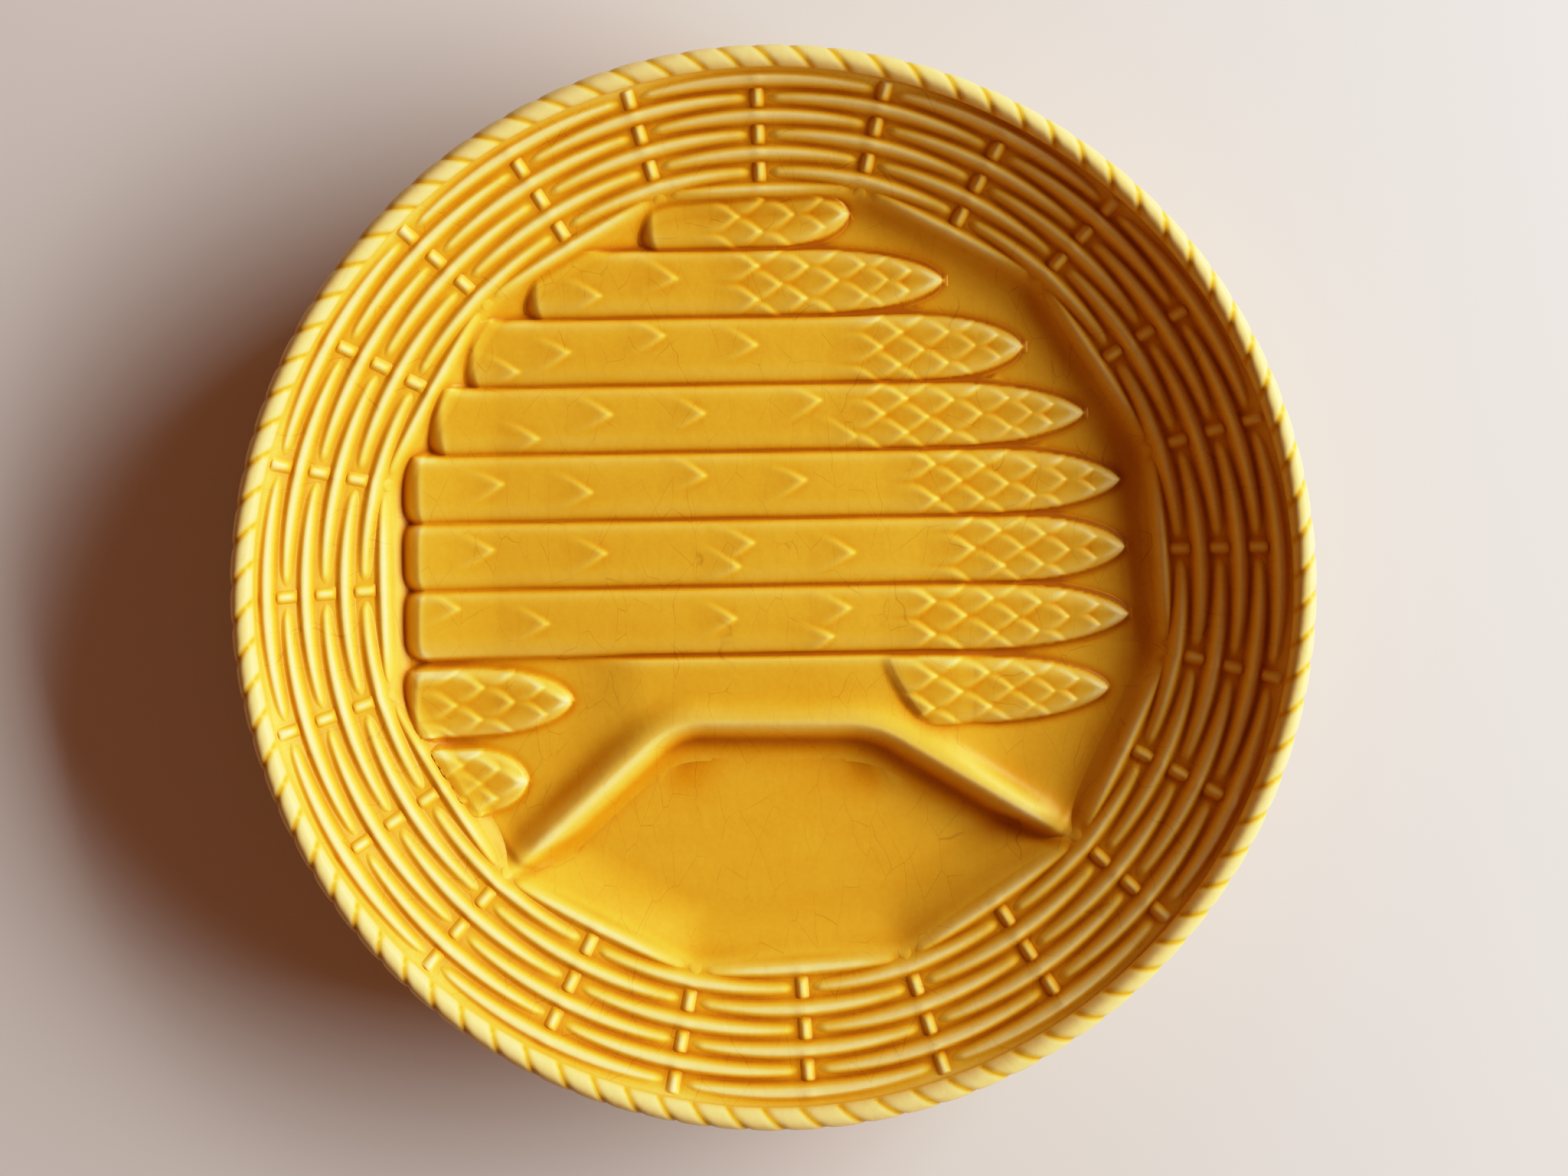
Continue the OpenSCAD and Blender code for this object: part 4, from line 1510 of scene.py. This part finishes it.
@dataclass(frozen=True)
class HoneyGlaze:
    """Lead-type honey glaze, dipped over pale earthenware and fired.

    It is thin and straw-pale on the ridges, and pools to amber in the hollows. Fine
    cracks run through it, and the surface is glossy with a faint ripple.
    """

    name: str = "honey_glaze_dipped"
    roughness: float = 0.36
    ior: float = 1.52
    specular_level: float = 0.3
    specular_tint: str = "#ffdc8c"
    crack_stain: str = "#7a3c06"
    # The crazing's meshes are about 6 mm wide in the photo, and its lines 0.07 mm, drawn
    # as wide as a fine render needs to show them
    crack_mm: float = 6.0
    crack_width: float = 0.011
    crack_gap_mm: float = 11.0
    crack_bend_mm: float = 7.0
    # Brushed-out mottle, ground-in specks coarser than the real grain, and the ripple that
    # a dipped glaze keeps
    mottle_mm: float = 9.0
    speck_mm: float = 0.9
    ripple_mm: float = 3.2

    def build(self) -> bpy.types.Material:
        """Makes the material.

        Returns:
            The material, ready to be assigned.
        """
        material = bpy.data.materials.new(self.name)
        material.use_nodes = True
        tree = material.node_tree
        shader = tree.nodes["Principled BSDF"]
        coords = add_node(tree, "ShaderNodeTexCoord").outputs["Object"]
        pool = add_node(tree, "ShaderNodeAttribute", attribute_name="pool").outputs["Fac"]
        flow = add_node(tree, "ShaderNodeAttribute", attribute_name="flow").outputs["Vector"]
        drawn = add_node(tree, "ShaderNodeMapping",
                         {"Vector": coords, "Scale": (0.4, 1.0, 1.0)}).outputs[0]
        mottle = add_node(
            tree, "ShaderNodeTexNoise",
            {"Vector": drawn, "Scale": per_mm(self.mottle_mm), "Detail": 3.0}).outputs["Fac"]
        grain = add_node(
            tree, "ShaderNodeTexNoise",
            {"Vector": coords, "Scale": per_mm(self.speck_mm), "Detail": 2.0}).outputs["Fac"]
        spread = add_node(tree, "ShaderNodeMath", {0: mottle, 1: 0.16, 2: -0.08},
                          operation="MULTIPLY_ADD").outputs[0]
        fine = add_node(tree, "ShaderNodeMath", {0: grain, 1: 0.09, 2: spread},
                        operation="MULTIPLY_ADD").outputs[0]
        depth = add_node(tree, "ShaderNodeMath", {0: pool, 1: fine}, operation="ADD",
                         use_clamp=True).outputs[0]
        colour = add_node(tree, "ShaderNodeValToRGB", {"Fac": depth}, stops=(
            (0.0, "#f5dd8c"), (0.22, "#edc34c"), (0.5, "#e2a926"),
            (0.72, "#d4880c"), (1.0, "#a65605"))).outputs["Color"]
        cracks = self.cracks(tree, flow, depth)
        stained = add_node(
            tree, "ShaderNodeMix", {0: cracks, 6: colour, 7: linear(self.crack_stain)},
            data_type="RGBA").outputs[2]
        ripple = add_node(
            tree, "ShaderNodeTexNoise",
            {"Vector": coords, "Scale": per_mm(self.ripple_mm), "Detail": 1.0}).outputs["Fac"]
        relief = add_node(tree, "ShaderNodeMath", {0: cracks, 1: -0.5, 2: ripple},
                          operation="MULTIPLY_ADD").outputs[0]
        bump = add_node(tree, "ShaderNodeBump",
                        {"Height": relief, "Strength": 0.12, "Distance": 0.0006})
        tree.links.new(bump.outputs["Normal"], shader.inputs["Normal"])
        tree.links.new(stained, shader.inputs["Base Color"])
        shader.inputs["Roughness"].default_value = self.roughness
        shader.inputs["IOR"].default_value = self.ior
        shader.inputs["Specular IOR Level"].default_value = self.specular_level
        shader.inputs["Specular Tint"].default_value = linear(self.specular_tint)
        return material

    def cracks(self, tree: bpy.types.NodeTree, flow: bpy.types.NodeSocket,
               depth: bpy.types.NodeSocket) -> bpy.types.NodeSocket:
        """Adds the network of fine cracks, which shows most where the glaze is deep.

        Args:
            tree: The material's node tree.
            flow: Coordinates that the cracks follow.
            depth: Share of pooled glaze.

        Returns:
            The socket with the strength of the cracks.
        """
        bend = add_node(
            tree, "ShaderNodeTexNoise",
            {"Vector": flow, "Scale": per_mm(self.crack_bend_mm), "Detail": 1.0},
        ).outputs["Color"]
        bent = add_node(tree, "ShaderNodeMix",
                        {0: 0.0012, 4: flow, 5: bend}, data_type="VECTOR").outputs[1]
        stretched = add_node(tree, "ShaderNodeMapping",
                             {"Vector": bent, "Scale": (1.0, 0.42, 1.0)}).outputs[0]
        edge = add_node(
            tree, "ShaderNodeTexVoronoi",
            {"Vector": stretched, "Scale": per_mm(self.crack_mm)},
            feature="DISTANCE_TO_EDGE").outputs["Distance"]
        line = add_node(
            tree, "ShaderNodeMapRange",
            {"Value": edge, 1: 0.0, 2: self.crack_width, 3: 1.0, 4: 0.0}).outputs[0]
        gaps = add_node(
            tree, "ShaderNodeTexNoise",
            {"Vector": flow, "Scale": per_mm(self.crack_gap_mm), "Detail": 0.0},
        ).outputs["Fac"]
        shown = add_node(tree, "ShaderNodeMapRange",
                         {"Value": gaps, 1: 0.36, 2: 0.54, 3: 0.0, 4: 0.45}).outputs[0]
        deep = add_node(tree, "ShaderNodeMapRange",
                        {"Value": depth, 1: 0.2, 2: 0.8, 3: 0.35, 4: 1.0}).outputs[0]
        part = add_node(tree, "ShaderNodeMath", {0: line, 1: shown},
                        operation="MULTIPLY").outputs[0]
        return add_node(tree, "ShaderNodeMath", {0: part, 1: deep},
                        operation="MULTIPLY").outputs[0]


@dataclass(frozen=True)
class BareClay:
    """Buff earthenware, cast and fired, with the glaze wiped off the foot.

    It is dull and finely pitted, with darker iron specks and a little rubbed-in dirt.
    """

    name: str = "buff_earthenware_bare"
    roughness: float = 0.85
    # Iron specks and pits, drawn coarser than the real 0.1 to 0.3 mm so that they show
    speck_mm: float = 0.7
    speck_colour: str = "#7c5434"
    stain_mm: float = 14.0

    def build(self) -> bpy.types.Material:
        """Makes the material.

        Returns:
            The material, ready to be assigned.
        """
        material = bpy.data.materials.new(self.name)
        material.use_nodes = True
        tree = material.node_tree
        shader = tree.nodes["Principled BSDF"]
        coords = add_node(tree, "ShaderNodeTexCoord").outputs["Object"]
        stain = add_node(tree, "ShaderNodeTexNoise",
                         {"Vector": coords, "Scale": per_mm(self.stain_mm),
                          "Detail": 4.0}).outputs["Fac"]
        speck = add_node(tree, "ShaderNodeTexNoise",
                         {"Vector": coords, "Scale": per_mm(self.speck_mm),
                          "Detail": 2.0}).outputs["Fac"]
        base = add_node(tree, "ShaderNodeValToRGB", {"Fac": stain}, stops=(
            (0.3, "#b48a5c"), (0.5, "#d2ad7e"), (0.7, "#e0c49a"))).outputs["Color"]
        dots = add_node(tree, "ShaderNodeMapRange",
                        {"Value": speck, 1: 0.64, 2: 0.7, 3: 0.0, 4: 0.6}).outputs[0]
        colour = add_node(
            tree, "ShaderNodeMix", {0: dots, 6: base, 7: linear(self.speck_colour)},
            data_type="RGBA").outputs[2]
        bump = add_node(tree, "ShaderNodeBump",
                        {"Height": speck, "Strength": 0.4, "Distance": 0.0003})
        tree.links.new(bump.outputs["Normal"], shader.inputs["Normal"])
        tree.links.new(colour, shader.inputs["Base Color"])
        shader.inputs["Roughness"].default_value = self.roughness
        return material


@dataclass
class Plate:
    """The whole plate: every sub-assembly with its finish and the node it stands for."""

    face: FaceForm = field(default_factory=FaceForm)

    def build(self) -> list[bpy.types.Object]:
        """Builds each piece, dresses it and hides the node it replaces.

        Returns:
            The pieces.
        """
        glaze, clay = HoneyGlaze().build(), BareClay().build()
        face = self.face
        parts = [
            (DishBody(face), "dish_shell", Slot.HONEY_GLAZE),
            (FootRing(face), "foot_ring", Slot.BARE_CLAY),
            (RopeRim(face), "rope_border", Slot.HONEY_GLAZE),
        ]
        parts += [(WeaveRow(face, row), f"weave_row_{row}", Slot.HONEY_GLAZE)
                  for row in range(1, face.plate.row_count + 1)]
        parts += [
            (StakeSet(face, "stakes_at_corners", 1), "corner_stakes", Slot.HONEY_GLAZE),
            (StakeSet(face, "stakes_at_sides", 2), "side_stakes", Slot.HONEY_GLAZE),
            (DividerRidge(face), "sauce_divider", Slot.HONEY_GLAZE),
        ]
        parts += [(SpearRelief(face, form), form.name, Slot.HONEY_GLAZE)
                  for form in face.spears]
        pieces = []
        for part, node, slot in parts:
            piece = part.build()
            piece.data.materials.append(glaze if slot is Slot.HONEY_GLAZE else clay)
            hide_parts(node)
            pieces.append(piece)
        for name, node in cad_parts.items():
            node.data.materials.clear()
            node.data.materials.append(clay if name == "foot_ring" else glaze)
        return pieces


@dataclass
class Studio:
    """A pale floor, one large soft window light, and the camera above the plate."""

    rim_z: float = 33.5
    above: float = 446.0
    across: tuple[float, float] = (-2.0, 44.0)
    aim: tuple[float, float] = (2.46, -0.18)
    half_width: float = 180.3
    key_turn: float = 13.0
    key_height: float = 26.0
    key_away: float = 1.3
    key_size: tuple[float, float] = (1.5, 0.45)
    key_power: float = 43.0
    air_colour: str = "#ffa070"
    air_strength: float = 0.17
    floor_colour: str = "#d9d5cf"
    roll_off: tuple[tuple[float, float], ...] = ((0.25, 0.5), (0.4, 0.73), (0.6, 0.88))
    white_level: float = 2.0
    sensor_w: float = 36.0

    def build(self) -> None:
        """Sets up floor, lights, background and camera."""
        scene = bpy.context.scene
        self.floor()
        self.window()
        world = bpy.data.worlds.new("studio_air")
        world.use_nodes = True
        air = world.node_tree.nodes["Background"]
        air.inputs["Color"].default_value = linear(self.air_colour)
        air.inputs["Strength"].default_value = self.air_strength
        scene.world = world
        self.film(scene.view_settings)
        scene.camera = self.camera()

    def film(self, view: bpy.types.ColorManagedViewSettings) -> None:
        """Rolls the brightest tones off, as a camera does.

        Args:
            view: The scene's view settings.
        """
        view.view_transform = "Standard"
        view.use_curve_mapping = True
        curve = view.curve_mapping
        curve.white_level = (self.white_level,) * 3
        for place in self.roll_off:
            curve.curves[3].points.new(*place)
        curve.update()

    def floor(self) -> bpy.types.Object:
        """A plain pale floor at z 0.

        Returns:
            The floor.
        """
        bm = bmesh.new()
        bmesh.ops.create_grid(bm, x_segments=1, y_segments=1, size=3.0)
        mesh = bpy.data.meshes.new("floor")
        bm.to_mesh(mesh)
        bm.free()
        obj = bpy.data.objects.new("floor", mesh)
        bpy.context.scene.collection.objects.link(obj)
        material = bpy.data.materials.new("floor_matt_paint")
        material.use_nodes = True
        shader = material.node_tree.nodes["Principled BSDF"]
        shader.inputs["Base Color"].default_value = linear(self.floor_colour)
        shader.inputs["Roughness"].default_value = 0.9
        mesh.materials.append(material)
        return obj

    def window(self) -> None:
        """Hangs a soft rectangular light that faces the plate."""
        light = bpy.data.lights.new("window_light", "AREA")
        light.shape, light.size, light.size_y = "RECTANGLE", *self.key_size
        light.energy = self.key_power
        obj = bpy.data.objects.new("window_light", light)
        a, b = math.radians(self.key_turn), math.radians(self.key_height)
        spot = Vector((math.cos(a) * math.cos(b), math.sin(a) * math.cos(b), math.sin(b)))
        obj.location = spot * self.key_away
        obj.rotation_euler = spot.to_track_quat("Z", "Y").to_euler()
        bpy.context.scene.collection.objects.link(obj)

    def camera(self) -> bpy.types.Object:
        """The camera over the plate's far half, shifted so that the plate stays central.

        Returns:
            The camera.
        """
        data = bpy.data.cameras.new("camera")
        data.sensor_width = self.sensor_w
        data.lens = data.sensor_width / 2.0 * self.above / self.half_width
        data.shift_x = (self.aim[0] - self.across[0]) / (2.0 * self.half_width)
        data.shift_y = (self.aim[1] - self.across[1]) / (2.0 * self.half_width)
        data.clip_start = 0.01
        obj = bpy.data.objects.new("camera", data)
        obj.location = Vector((*self.across, self.rim_z + self.above)) * MM
        bpy.context.scene.collection.objects.link(obj)
        return obj


def main() -> None:
    """Builds the plate and its studio."""
    logging.basicConfig(level=logging.INFO, format="%(name)s: %(message)s")
    Studio().build()
    for piece in Plate().build():
        LOG.info("made %s", piece.name)
    bpy.context.view_layer.update()


if __name__ == "__main__":
    main()
